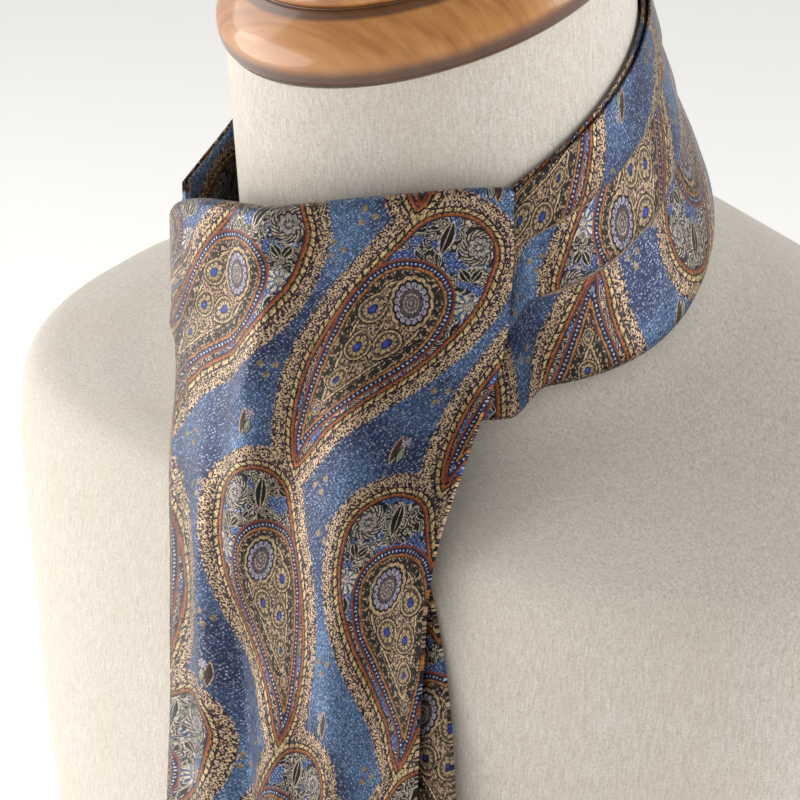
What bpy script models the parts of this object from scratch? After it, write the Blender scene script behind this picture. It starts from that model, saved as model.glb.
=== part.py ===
"""A silk day cravat on a limbless dress form.

The form stands on its flat waist and carries a turned wooden cap on its neck. The cravat is one
doubled length of silk: a pleated band round the neck, a wrap across the throat, a short blade that
hangs beneath, and a wide pointed blade that comes up behind the wrap, rolls over and falls in front.

Metres, +Z up, the wearer faces -Y and their left is +X. Places on the neck are given by a turn about
its axis (0 in front, 90 on the wearer's left) and by how far they stand off the linen.
"""

import math

import bmesh
import bpy
import numpy as np
from mathutils import Vector
from mathutils.bvhtree import BVHTree

MM = 0.001

# --- the form -----------------------------------------------------------------------------------
CAP_HEIGHT = 0.540  # middle of the cap's rim above the waist
CAP_AHEAD = 0.0225  # how far that middle lies in front of the part's origin
CAP_TILT = 21.8  # degrees, front edge low
CAP_GAP = 0.3 * MM

NECK_LEAN = math.tan(math.radians(7.8))
NECK_RADIUS = 63.7 * MM
NECK_FLARE = 0.0325  # growth of the radius for each metre down
NECK_BEHIND_CAP = 0.4 * MM
NECK_TOP_FRONT, NECK_TOP_BACK = 61.2 * MM, 59.6 * MM  # its depths where the cap sits

FORM_SIDES = 52
# Sections of the form, from the waist up: height of the middle and how far it lies behind the
# cap's middle, forward tilt, half width, depths in front and behind, and squareness of the outline.
FORM_COLUMNS = ("height", "behind", "tilt", "half_width", "front", "back", "power", "rings")
FORM_SECTIONS = (
    (0.000, 0.034, 0.0, 0.148, 0.104, 0.100, 2.15, 2),
    (0.090, 0.034, 0.0, 0.154, 0.110, 0.104, 2.20, 2),
    (0.180, 0.034, 0.0, 0.166, 0.119, 0.108, 2.25, 2),
    (0.260, 0.034, 1.0, 0.177, 0.121, 0.111, 2.30, 2),
    (0.325, 0.033, 4.0, 0.187, 0.115, 0.112, 2.35, 2),
    (0.370, 0.031, 8.0, 0.195, 0.107, 0.110, 2.40, 2),
    (0.400, 0.028, 12.0, 0.191, 0.099, 0.104, 2.35, 2),
    (0.414, 0.025, 16.0, 0.161, 0.092, 0.097, 2.20, 2),
    (0.424, 0.022, 20.0, 0.121, 0.083, 0.088, 2.05, 2),
    (0.433, 0.0190, 23.0, 0.0890, 0.0740, 0.0780, 2.00, 2),
    (0.444, 0.0155, 24.0, 0.0730, 0.0675, 0.0685, 2.00, 2),
    (0.462, 0.0116, 23.5, 0.0672, 0.0646, 0.0640, 2.00, 2),
    (0.488, 0.0075, 22.5, 0.0656, 0.0630, 0.0617, 2.00, 2),
    (0.514, 0.0040, 22.0, 0.0646, 0.0621, 0.0604, 2.00, 2),
)

CAP_SIDES = 44
# The cap's turned profile, from the rim's underside to the top: radius and height.
CAP_PROFILE_COLUMNS = ("radius", "height")
CAP_PROFILE = (
    (65.0, 0.0),
    (66.0, 1.3),
    (66.0, 4.4),
    (65.2, 7.2),
    (63.2, 10.6),
    (60.2, 14.0),
    (56.9, 16.9),
    (54.2, 18.7),
    (53.2, 18.9),
    (53.4, 19.8),
    (54.3, 20.9),
    (54.2, 22.3),
    (52.6, 23.8),
    (46.0, 26.0),
    (36.0, 28.2),
    (24.0, 29.9),
    (10.0, 30.9),
)
CAP_TOP = 31.1 * MM

# --- the cravat ---------------------------------------------------------------------------------
CLOTH = 1.6 * MM  # the doubled silk of a blade
CLEAR = 0.9 * MM  # how far a cloth's face keeps from what it lies on
SEAM = 0.6 * MM  # between the ends of the band and of the wrap
EDGE_ROUND = 0.45  # how far a cloth's edge bulges, as a share of its thickness
PROBE = 30.0 * MM  # how far out a search for the layer beneath starts
LIFT_FADE, LIFT_ROUNDS = 0.82, 3  # how a layer's lift fades over its neighbours

# The band's upper edge lies in a plane that rises towards the nape.
EDGE_AT_AXIS = -34.6 * MM  # below the cap's middle
EDGE_RISE = 0.69
# The band leans out as it goes down: so much for each metre, and more and more of it.
LEAN_AT_EDGE, LEAN_GROWTH = 0.12, 1.6
OUTWARD_TIP = 0.2  # how far its faces tip upwards

# The pleated band in section: drop below its upper edge and distance out from its inner face.
SECTION_COLUMNS = ("drop", "out")
BAND_SECTION = (
    (58.0, 0.0),
    (44.0, 0.0),
    (30.0, 0.0),
    (16.0, 0.0),
    (4.0, 0.0),
    (0.6, 0.25),
    (0.0, 0.9),
    (0.6, 1.4),
    (3.6, 1.8),
    (1.4, 2.3),
    (1.0, 2.8),
    (1.9, 3.3),
    (8.0, 3.6),
    (14.4, 3.8),
    (16.5, 3.2),
    (16.2, 2.4),
    (24.0, 3.1),
    (31.4, 3.4),
    (33.7, 2.8),
    (33.4, 2.0),
    (44.0, 2.8),
    (54.0, 3.1),
    (57.8, 2.5),
    (58.6, 1.2),
)
BAND_STEPS = 54
BAND_RIGHT_END, BAND_LEFT_END = -46.0, 43.0
BAND_STAND = 0.9 * MM
BAND_WIDTH_AT_THROAT = 0.74  # its pleats close up towards the throat, between these two turns
NARROW_FROM, FULL_FROM = 25.0, 100.0
# Where the band runs straight forward from the neck to the corner of the knot.
CORNER_FROM, CORNER_SPAN, CORNER_STAND, CORNER_POWER = 68.0, 25.0, 17.5 * MM, 1.75
CORNER_UPRIGHT_SPAN = 40.0  # turns over which the band stands up straight towards that corner
# Where the band's upper edge slips down under the front blade's edge.
DIP_FROM, DIP_SPAN, DIP_DEPTH = 62.0, 9.0, 9.0 * MM

# The wrap across the throat, under the front blade: turn and distance of its inner face out.
WRAP_COLUMNS = ("turn", "stand")
WRAP_PATH = (
    (-46.0, 15.6),
    (-42.0, 14.6),
    (-34.0, 13.0),
    (-20.0, 11.2),
    (-5.0, 9.4),
    (10.0, 7.6),
    (25.0, 5.6),
    (36.0, 3.9),
    (43.0, 2.6),
)
WRAP_SECTION = (
    (52.0, 0.0),
    (36.0, 0.0),
    (18.0, 0.0),
    (1.2, 0.0),
    (0.0, 1.3),
    (1.0, 2.6),
    (16.0, 3.0),
    (19.0, 2.2),
    (22.0, 2.9),
    (36.0, 3.2),
    (39.0, 2.3),
    (42.0, 3.0),
    (51.0, 2.7),
    (53.0, 1.3),
)
WRAP_STEPS = 26
WRAP_DROP = 3.2 * MM  # its upper edge below the band's own plane
WRAP_SINK, WRAP_SINK_SPAN = 9.0 * MM, 13.0  # and how much lower it goes away from its ends

# Plan outlines of the blades at several heights below the cap's middle, in millimetres: where the
# foremost point lies, how far the cloth reaches to each side of it, and how far back it curves.
LEVEL_COLUMNS = ("height", "middle", "front", "reach_right", "depth_right", "reach_left", "depth_left")
FRONT_LEVELS = (
    (-50.0, -7.0, -72.0, 51.5, 17.5, 70.0, 42.0),
    (-75.0, -7.0, -73.0, 52.0, 18.5, 71.0, 42.0),
    (-100.0, -6.0, -75.0, 51.5, 19.0, 71.0, 39.0),
    (-125.0, -4.0, -78.0, 45.5, 16.0, 71.0, 26.0),
    (-150.0, -1.0, -82.0, 43.5, 12.0, 71.0, 13.0),
    (-187.0, 5.0, -87.5, 42.5, 10.5, 68.0, 10.0),
    (-218.0, 12.0, -91.5, 44.5, 9.5, 64.0, 9.0),
    (-260.0, 18.0, -95.5, 48.5, 8.5, 60.0, 8.5),
    (-300.0, 21.0, -97.0, 52.0, 8.0, 58.0, 8.0),
    (-390.0, 22.0, -96.5, 54.0, 7.0, 57.0, 7.0),
)
UNDER_LEVELS = (
    (-84.0, -3.0, -61.0, 27.0, 8.0, 25.0, 6.5),
    (-100.0, -2.0, -61.0, 31.0, 9.0, 29.0, 8.0),
    (-125.0, 2.0, -66.5, 38.0, 9.0, 36.0, 8.0),
    (-150.0, 8.0, -75.5, 44.0, 8.0, 52.0, 9.0),
    (-187.0, 16.0, -81.5, 46.0, 6.5, 62.0, 8.0),
    (-218.0, 22.0, -86.0, 48.0, 6.0, 64.0, 8.0),
    (-260.0, 26.0, -90.0, 50.0, 6.0, 64.0, 8.0),
    (-350.0, 27.0, -91.0, 51.0, 6.0, 64.0, 8.0),
)

# The fold over which the front blade falls: turn about its own middle, and height of its crest.
CREST_COLUMNS = ("turn", "height")
CREST = (
    (-40.0, -74.5),
    (-31.0, -69.0),
    (-21.0, -64.8),
    (-10.0, -62.0),
    (0.0, -60.6),
    (10.0, -58.9),
    (18.0, -56.7),
    (28.0, -54.3),
    (40.0, -52.0),
    (52.0, -50.4),
    (63.0, -50.6),
)
ROLL_RADIUS = 2.9 * MM
ROLL_RADIUS_AT_EDGE = 1.5 * MM
ROLL_STEPS, ROLL_TURN = 6, 150.0
RISER_STAND = 2.0 * MM
RISER_KNEE = 19.0 * MM  # drop from the crest to where the cloth meets the neck
RISER_END = 34.0 * MM
RISER_KNEE_AT_EDGE, RISER_END_AT_EDGE = 2.2 * MM, 3.6 * MM
RISER_CORE, RISER_FADE = 0.50, 0.88  # shares of the half width: full riser, and none

FRONT_TIP, FRONT_SHOULDER = -388.0 * MM, -331.0 * MM  # the pointed hem: its tip and its corners
UNDER_TIP, UNDER_SHOULDER = -345.0 * MM, -286.0 * MM
UNDER_TOP = -84.0 * MM
HEM_BLUNT = 0.06  # how blunt the tips are
ROW_GROWTH = 1.15  # rows lie closer at the top

# Soft folds of the front blade: where each runs across the width (-1 to 1) at its top and its
# bottom, the heights between which it shows, half its breadth, and how far it stands out.
FOLD_COLUMNS = ("at_top", "at_bottom", "top", "bottom", "breadth", "lift")
FRONT_FOLDS = (
    (0.17, 0.02, -45.0, -190.0, 0.13, 3.4),
    (0.34, 0.26, -50.0, -170.0, 0.14, -2.0),
    (-0.52, -1.02, -52.0, -118.0, 0.10, -3.0),
    (-0.66, -1.20, -52.0, -118.0, 0.09, 1.8),
    (0.62, 0.50, -80.0, -300.0, 0.16, 2.6),
    (-0.30, -0.48, -120.0, -350.0, 0.17, 3.0),
    (-0.02, -0.10, -170.0, -400.0, 0.13, -2.6),
    (0.22, 0.20, -190.0, -400.0, 0.14, 2.6),
    (0.82, 0.74, -150.0, -340.0, 0.12, -2.0),
)
UNDER_FOLDS = (
    (-0.30, -0.45, -100.0, -340.0, 0.22, 1.2),
    (0.45, 0.40, -120.0, -340.0, 0.20, 1.4),
)
FOLD_START, FOLD_END = 6.0, 4.0  # how quickly a fold grows at its top, and fades at its bottom
BORN_AT_CREST = -60.0  # a fold that starts above this is whole from the crest down
FRONT_COLUMNS, FRONT_ROWS = 26, 30
UNDER_COLUMNS, UNDER_ROWS = 15, 20


def named(columns, table):
    """Each column of a table as an array, by its name."""
    return dict(zip(columns, np.array(table, float).T))


def ease(t):
    """0 below 0, 1 above 1, and a smooth step between."""
    t = np.clip(t, 0.0, 1.0)
    return t * t * (3.0 - 2.0 * t)


def mix(a, b, t):
    return a + (b - a) * t


def through(xs, ys, x):
    """A smooth curve through the points (xs, ys), read at x; it holds still past either end."""
    if xs[0] > xs[-1]:
        xs, ys = xs[::-1], ys[::-1]
    x = np.clip(x, xs[0], xs[-1])
    slopes = np.gradient(ys, xs)
    i = np.clip(np.searchsorted(xs, x, side="right") - 1, 0, len(xs) - 2)
    step = xs[i + 1] - xs[i]
    t = (x - xs[i]) / step
    start = (1 + 2 * t) * (1 - t) ** 2 * ys[i] + t * (1 - t) ** 2 * step * slopes[i]
    end = t * t * (3 - 2 * t) * ys[i + 1] - t * t * (1 - t) * step * slopes[i + 1]
    return start + end


def material(name, colour, roughness, metallic=0.0):
    made = bpy.data.materials.new(name)
    made.use_nodes = True
    shader = made.node_tree.nodes["Principled BSDF"]
    shader.inputs["Base Color"].default_value = (*colour, 1.0)
    shader.inputs["Roughness"].default_value = roughness
    shader.inputs["Metallic"].default_value = metallic
    return made


def solid(name, points, faces, finish):
    """One closed object, its faces turned outwards."""
    mesh = bpy.data.meshes.new(name)
    mesh.from_pydata([tuple(map(float, p)) for p in points], [], faces)
    work = bmesh.new()
    work.from_mesh(mesh)
    bmesh.ops.recalc_face_normals(work, faces=work.faces)
    work.to_mesh(mesh)
    work.free()
    mesh.shade_smooth()
    mesh.set_sharp_from_angle(angle=math.radians(50.0))
    mesh.materials.append(finish)
    made = bpy.data.objects.new(name, mesh)
    bpy.context.scene.collection.objects.link(made)
    return made


def tube_faces(rings, sides, top=True):
    """Quads between rings of points that follow each other, with a face on the first ring and the last."""
    faces = []
    for ring in range(rings - 1):
        for side in range(sides):
            a = ring * sides + side
            b = ring * sides + (side + 1) % sides
            faces.append((a, b, b + sides, a + sides))
    faces.append(tuple(range(sides)))
    if top:
        faces.append(tuple(range((rings - 1) * sides, rings * sides)))
    return faces


def neck_axis(height):
    """How far behind the origin the neck's axis lies, at a height below the cap's middle."""
    return NECK_BEHIND_CAP - NECK_LEAN * height - CAP_AHEAD


def on_neck(turn, height, stand):
    """The point at a turn about the neck's axis, a height from the cap's middle, off the linen."""
    angle = math.radians(turn)
    radius = NECK_RADIUS - NECK_FLARE * height + stand
    return Vector(
        (radius * math.sin(angle), neck_axis(height) - radius * math.cos(angle), CAP_HEIGHT + height)
    )


# --- form and cap -------------------------------------------------------------------------------
def form_points():
    """Rings of the form from the waist to just under the cap."""
    rows = named(FORM_COLUMNS, FORM_SECTIONS)
    tilt = math.radians(CAP_TILT)
    top = {
        "height": CAP_HEIGHT + math.tan(tilt) * NECK_BEHIND_CAP - CAP_GAP / math.cos(tilt),
        "behind": NECK_BEHIND_CAP,
        "tilt": CAP_TILT,
        "half_width": NECK_RADIUS,
        "front": NECK_TOP_FRONT,
        "back": NECK_TOP_BACK,
        "power": 2.0,
        "rings": 1,
    }
    rows = {name: np.append(values, top[name]) for name, values in rows.items()}
    index = np.arange(len(rows["height"]), dtype=float)
    places = []
    for start, count in zip(index[:-1], rows["rings"][:-1].astype(int)):
        places += [start + step / count for step in range(count)]
    places.append(index[-1])
    turns = np.linspace(0.0, 2 * math.pi, FORM_SIDES, endpoint=False)
    rings = []
    for place in places:
        at = {name: through(index, values, place) for name, values in rows.items()}
        across = np.sign(np.sin(turns)) * np.abs(np.sin(turns)) ** (2 / at["power"])
        along = -np.sign(np.cos(turns)) * np.abs(np.cos(turns)) ** (2 / at["power"])
        depth = np.where(along < 0, at["front"], at["back"])
        x = at["half_width"] * across
        y = depth * along
        z = at["height"] + math.tan(math.radians(at["tilt"])) * y
        rings.append(np.stack([x, y + at["behind"] - CAP_AHEAD, z], axis=1))
    return rings


def make_form(finish):
    rings = form_points()
    return solid("dress_form", np.concatenate(rings), tube_faces(len(rings), FORM_SIDES), finish)


def make_cap(finish):
    """The turned cap: its profile spun round an upright axis, then tipped forward as a whole."""
    profile = named(CAP_PROFILE_COLUMNS, CAP_PROFILE)
    turns = np.linspace(0.0, 2 * math.pi, CAP_SIDES, endpoint=False)
    points = []
    for radius, height in zip(profile["radius"] * MM, profile["height"] * MM):
        ring = [(radius * math.cos(t), radius * math.sin(t), height) for t in turns]
        points += ring
    rings = len(CAP_PROFILE)
    faces = tube_faces(rings, CAP_SIDES, top=False)
    last = (rings - 1) * CAP_SIDES
    points.append((0.0, 0.0, CAP_TOP))
    for side in range(CAP_SIDES):
        faces.append((last + side, last + (side + 1) % CAP_SIDES, len(points) - 1))
    cap = solid("neck_cap", points, faces, finish)
    cap.location = (0.0, -CAP_AHEAD, CAP_HEIGHT)
    cap.rotation_euler = (math.radians(CAP_TILT), 0.0, 0.0)
    return cap


# --- cloth helpers ------------------------------------------------------------------------------
def tree_of(made):
    """A search tree of an object that stands where its mesh says."""
    return BVHTree.FromPolygons(
        [v.co for v in made.data.vertices], [tuple(p.vertices) for p in made.data.polygons]
    )


def push_out(point, tree, gap):
    """The point, moved clear of a body that it is nearer to than gap or inside of."""
    place, normal, _, distance = tree.find_nearest(point)
    side = (point - place).dot(normal)
    height = distance if side >= 0 else -distance
    if height >= gap:
        return point
    return place + normal * gap


def lift_off(point, outward, tree, gap):
    """How far a point moves outward to lie gap above the outer face of a layer under it."""
    place, _, _, _ = tree.ray_cast(point + outward * PROBE, -outward, PROBE + gap)
    if place is None:
        return 0.0
    return max(0.0, (place - point).dot(outward) + gap)


def spread(lifts):
    """The lifts, spread to their neighbours so that a layer's edge leaves no step above it."""
    wide = lifts
    for _ in range(LIFT_ROUNDS):
        edged = np.pad(wide, 1, mode="edge")
        across = np.maximum(edged[1:-1, :-2], edged[1:-1, 2:])
        along = np.maximum(edged[:-2, 1:-1], edged[2:, 1:-1])
        wide = np.maximum(wide, LIFT_FADE * np.maximum(across, along))
    return wide


def grid_normals(grid):
    across = np.gradient(grid, axis=1)
    along = np.gradient(grid, axis=0)
    normals = np.cross(across, along)
    return normals / np.linalg.norm(normals, axis=2, keepdims=True)


def cloth_wall(name, grid, thickness, finish):
    """A closed wall on both sides of a grid of points, with rounded edges all round."""
    rows, columns = grid.shape[:2]
    normals = grid_normals(grid)
    outer = grid + normals * thickness / 2
    inner = grid - normals * thickness / 2
    rim = [(0, c) for c in range(columns)]
    rim += [(r, columns - 1) for r in range(1, rows)]
    rim += [(rows - 1, c) for c in range(columns - 2, -1, -1)]
    rim += [(r, 0) for r in range(rows - 2, 0, -1)]
    edge = []
    for r, c in rim:
        away = np.zeros(3)
        if r in (0, rows - 1):
            step = grid[r, c] - grid[1 if r == 0 else rows - 2, c]
            away += step / np.linalg.norm(step)
        if c in (0, columns - 1):
            step = grid[r, c] - grid[r, 1 if c == 0 else columns - 2]
            away += step / np.linalg.norm(step)
        edge.append(grid[r, c] + away / np.linalg.norm(away) * thickness * EDGE_ROUND)
    points = np.concatenate([outer.reshape(-1, 3), inner.reshape(-1, 3), np.array(edge)])
    count = rows * columns
    faces = []
    for r in range(rows - 1):
        for c in range(columns - 1):
            a = r * columns + c
            face = (a, a + 1, a + columns + 1, a + columns)
            faces.append(face)
            faces.append(tuple(count + i for i in reversed(face)))
    for i, (r, c) in enumerate(rim):
        j = (i + 1) % len(rim)
        a, b = r * columns + c, rim[j][0] * columns + rim[j][1]
        faces.append((b, a, 2 * count + i, 2 * count + j))
        faces.append((count + a, count + b, 2 * count + j, 2 * count + i))
    return solid(name, points, faces, finish)


def swept_wall(name, section, turns, place, finish):
    """A section swept through turns; place(turn, drop) gives the inner face and the way out."""
    rows = named(SECTION_COLUMNS, section)
    points = []
    for turn in turns:
        for drop, out in zip(rows["drop"] * MM, rows["out"] * MM):
            inner, outward = place(turn, drop)
            points.append(inner + outward * out)
    return solid(name, points, tube_faces(len(turns), len(section)), finish)


# --- neckband and wrap --------------------------------------------------------------------------
def upper_edge(turn, stand):
    """Height, from the cap's middle, at which the plane of the upper edge crosses this turn."""
    height = EDGE_AT_AXIS
    for _ in range(12):
        height = EDGE_AT_AXIS + EDGE_RISE * (on_neck(turn, height, stand).y + CAP_AHEAD)
    return height


def fall_along(turn):
    """Upright drop for each metre of the band's width, which is laid square to its slanting edge."""
    slope = EDGE_RISE * math.sin(math.radians(turn))
    closed = ease((abs(turn) - NARROW_FROM) / (FULL_FROM - NARROW_FROM))
    return math.hypot(1.0, slope) * float(mix(BAND_WIDTH_AT_THROAT, 1.0, closed))


def outward_at(turn):
    angle = math.radians(turn)
    return Vector((math.sin(angle), -math.cos(angle), OUTWARD_TIP)).normalized()


def hang(turn, height, stand, drop, lean_share=1.0):
    """A point of a band's inner face, a drop below its upper edge at this height and stand."""
    lean = (LEAN_AT_EDGE + LEAN_GROWTH * drop) * drop * lean_share
    return on_neck(turn, height - drop, stand + lean)


def make_neckband(form, finish):
    def place(turn, drop):
        turn = turn if turn > -180.0 else turn + 360.0
        stand = BAND_STAND
        dip, lean_share = 0.0, 1.0
        if turn < 0:
            gone = max(0.0, (CORNER_FROM + turn) / CORNER_SPAN)
            stand += CORNER_STAND * gone**CORNER_POWER
            lean_share = float(ease((-turn - CORNER_FROM + CORNER_SPAN) / CORNER_UPRIGHT_SPAN))
        else:
            dip = DIP_DEPTH * float(ease((DIP_FROM - turn) / DIP_SPAN))
        height = upper_edge(turn, stand) - dip
        point = hang(turn, height, stand, drop * fall_along(turn), lean_share)
        return push_out(point, form, CLEAR), outward_at(turn)

    turns = np.linspace(BAND_RIGHT_END, BAND_LEFT_END - 360.0, BAND_STEPS)
    return swept_wall("neckband", BAND_SECTION, turns, place, finish)


def make_throat_wrap(form, under, finish):
    path = named(WRAP_COLUMNS, WRAP_PATH)
    seam = math.degrees(SEAM / NECK_RADIUS)
    turns, step = np.linspace(
        BAND_RIGHT_END + seam, BAND_LEFT_END - seam, WRAP_STEPS, retstep=True
    )

    def on_form(turn, drop):
        stand = through(path["turn"], path["stand"], turn) * MM
        sunk = WRAP_DROP + WRAP_SINK * float(ease((turn - BAND_RIGHT_END) / WRAP_SINK_SPAN))
        height = upper_edge(turn, stand) - sunk
        point = hang(turn, height, stand, drop * fall_along(turn))
        return push_out(point, form, CLEAR)

    def place(turn, drop):
        lift = 0.0
        for near in (turn - step, turn, turn + step):
            lift = max(lift, lift_off(on_form(near, drop), outward_at(near), under, CLEAR))
        outward = outward_at(turn)
        return on_form(turn, drop) + outward * lift, outward

    return swept_wall("throat_wrap", WRAP_SECTION, turns, place, finish)


# --- blades -------------------------------------------------------------------------------------
def plan_point(levels, share, height):
    """A point of a blade at a share of its half width, and the way out of it, at a height."""
    at = {name: through(levels["height"], values, height / MM) for name, values in levels.items()}
    side = "left" if share > 0 else "right"
    reach, depth = at["reach_" + side] * MM, at["depth_" + side] * MM
    radius = (reach**2 + depth**2) / (2 * depth)
    angle = 2 * math.atan(depth / reach) * share
    x = at["middle"] * MM + radius * math.sin(angle)
    y = at["front"] * MM + radius * (1 - math.cos(angle)) - CAP_AHEAD
    return Vector((x, y, CAP_HEIGHT + height)), Vector((math.sin(angle), -math.cos(angle), 0.0))


def fold_lift(folds, share, height):
    """How far the soft folds stand out at a place."""
    fold = named(FOLD_COLUMNS, folds)
    down = (fold["top"] - height / MM) / (fold["top"] - fold["bottom"])
    begun = np.where(fold["top"] > BORN_AT_CREST, 1.0, 0.0)
    shown = ease(down * FOLD_START + begun) * ease((1.0 - down) * FOLD_END)
    off = (share - mix(fold["at_top"], fold["at_bottom"], down)) / fold["breadth"]
    return float((fold["lift"] * shown * np.exp(-off * off)).sum()) * MM


def hem_height(share, tip, shoulder):
    """The pointed end: its corners at the shoulder's height and its tip, a little blunt, below."""
    return mix(tip, shoulder, math.hypot(share, HEM_BLUNT))


def crest_height(share):
    crest = named(CREST_COLUMNS, CREST)
    turn = share * (crest["turn"][-1] if share > 0 else -crest["turn"][0])
    return through(crest["turn"], crest["height"], turn) * MM - CLOTH / 2


def roll_points(levels, share):
    """From the riser's end up the neck, over the crest and down to where the blade starts to fall."""
    full = 1.0 - float(ease((abs(share) - RISER_CORE) / (RISER_FADE - RISER_CORE)))
    crest = crest_height(share)
    radius = mix(ROLL_RADIUS_AT_EDGE, ROLL_RADIUS, full)
    start, outward = plan_point(levels, share, crest - radius)
    arc = []
    for step in range(ROLL_STEPS):
        angle = math.radians(ROLL_TURN) * step / (ROLL_STEPS - 1)
        over = outward * (math.cos(angle) - 1.0) + Vector((0, 0, 1)) * math.sin(angle)
        arc.append(start + over * radius)
    turn = math.degrees(math.atan2(start.x, neck_axis(crest) - start.y))
    inside = start - outward * 2 * radius
    knee_short = inside - Vector((0, 0, RISER_KNEE_AT_EDGE))
    end_short = inside - Vector((0, 0, RISER_END_AT_EDGE))
    knee = knee_short.lerp(on_neck(turn, crest - RISER_KNEE, RISER_STAND), full)
    end = end_short.lerp(on_neck(turn, crest - RISER_END, RISER_STAND), full)
    inner = [end, end.lerp(knee, 0.5), knee, knee.lerp(arc[-1], 0.5)]
    return inner + arc[::-1], crest - radius, outward


def make_front_blade(form, beneath, finish):
    levels = named(LEVEL_COLUMNS, FRONT_LEVELS)
    shares = np.linspace(-1.0, 1.0, FRONT_COLUMNS)
    columns, outwards = [], []
    for share in shares:
        points, top, outward = roll_points(levels, share)
        ways = [outward] * len(points)
        hem = hem_height(share, FRONT_TIP, FRONT_SHOULDER)
        for row in range(1, FRONT_ROWS + 1):
            height = mix(top, hem, (row / FRONT_ROWS) ** ROW_GROWTH)
            point, outward = plan_point(levels, share, height)
            points.append(point + outward * fold_lift(FRONT_FOLDS, share, height))
            ways.append(outward)
        columns.append(points)
        outwards.append(ways)
    inner_rows = len(columns[0]) - FRONT_ROWS - 1
    return draped("front_blade", columns, outwards, inner_rows, form, beneath, finish)


def make_under_blade(form, finish):
    levels = named(LEVEL_COLUMNS, UNDER_LEVELS)
    columns, outwards = [], []
    for share in np.linspace(-1.0, 1.0, UNDER_COLUMNS):
        hem = hem_height(share, UNDER_TIP, UNDER_SHOULDER)
        points, ways = [], []
        for row in range(UNDER_ROWS + 1):
            height = mix(UNDER_TOP, hem, row / UNDER_ROWS)
            point, outward = plan_point(levels, share, height)
            points.append(point + outward * fold_lift(UNDER_FOLDS, share, height))
            ways.append(outward)
        columns.append(points)
        outwards.append(ways)
    return draped("under_blade", columns, outwards, 0, form, (), finish)


def draped(name, columns, outwards, first_row, form, beneath, finish):
    """A blade's wall through columns of points, kept clear of the form and of the layers beneath."""
    keep = CLEAR + CLOTH / 2
    grid = np.array([[push_out(p, form, keep) for p in column] for column in columns])
    lifts = np.zeros(grid.shape[:2])
    for c, ways in enumerate(outwards):
        for r in range(first_row, len(ways)):
            point = Vector(grid[c, r])
            lifts[c, r] = max([lift_off(point, ways[r], tree, keep) for tree in beneath] or [0.0])
    lifts = spread(lifts)
    lifts[:, :first_row] = 0.0
    grid += np.array(outwards) * lifts[:, :, None]
    return cloth_wall(name, grid.transpose(1, 0, 2), CLOTH, finish)


def main():
    for old in list(bpy.data.objects):
        bpy.data.objects.remove(old, do_unlink=True)
    linen = material("linen", (0.78, 0.74, 0.66), 0.85)
    wood = material("wood", (0.50, 0.24, 0.09), 0.25)
    silk = material("silk", (0.16, 0.24, 0.46), 0.40)
    form_object = make_form(linen)
    make_cap(wood)
    form = tree_of(form_object)
    neckband = tree_of(make_neckband(form, silk))
    under = tree_of(make_under_blade(form, silk))
    wrap = tree_of(make_throat_wrap(form, under, silk))
    make_front_blade(form, (under, wrap, neckband), silk)


main()
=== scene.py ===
"""The looks of a silk day cravat on a limbless dress form.

The silk shells, the linen form and the turned cap are finer versions of the frame's nodes, from the same
sizes, so each lies where its node lies. Metres, +Z up, the wearer faces -Y and their left is +X. Places on
the neck are given by a turn about its axis (0 in front, 90 on the wearer's left) and by how far they stand
off the linen. Places on the cloth are in millimetres: across it, and down from the crest or the edge.
"""

import itertools
import math
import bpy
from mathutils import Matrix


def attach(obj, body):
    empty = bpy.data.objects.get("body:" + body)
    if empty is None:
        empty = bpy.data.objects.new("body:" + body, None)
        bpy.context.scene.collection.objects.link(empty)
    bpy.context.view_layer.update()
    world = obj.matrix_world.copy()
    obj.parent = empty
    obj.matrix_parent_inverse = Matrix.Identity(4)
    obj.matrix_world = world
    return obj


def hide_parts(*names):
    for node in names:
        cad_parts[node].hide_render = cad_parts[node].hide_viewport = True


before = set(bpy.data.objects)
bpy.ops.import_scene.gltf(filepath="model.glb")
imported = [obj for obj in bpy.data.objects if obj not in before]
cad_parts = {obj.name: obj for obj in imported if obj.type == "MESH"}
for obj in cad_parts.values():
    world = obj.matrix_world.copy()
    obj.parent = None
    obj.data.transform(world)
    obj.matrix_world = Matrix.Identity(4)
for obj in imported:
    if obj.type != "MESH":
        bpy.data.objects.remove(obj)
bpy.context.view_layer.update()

from types import SimpleNamespace

import bmesh
import bpy
import numpy as np
from mathutils import Matrix, Vector
from mathutils.bvhtree import BVHTree

MM = 0.001

# --- the form and the cap -----------------------------------------------------------------------
CAP_HEIGHT = 0.540  # middle of the cap's rim above the waist
CAP_AHEAD = 0.0225  # how far that middle lies in front of the part's origin
CAP_TILT = 21.8  # degrees, front edge low
CAP_GAP = 0.3 * MM

NECK_LEAN = math.tan(math.radians(7.8))
NECK_RADIUS = 63.7 * MM
NECK_FLARE = 0.0325  # growth of the radius for each metre down
NECK_BEHIND_CAP = 0.4 * MM
NECK_TOP_FRONT, NECK_TOP_BACK = 61.2 * MM, 59.6 * MM

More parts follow.
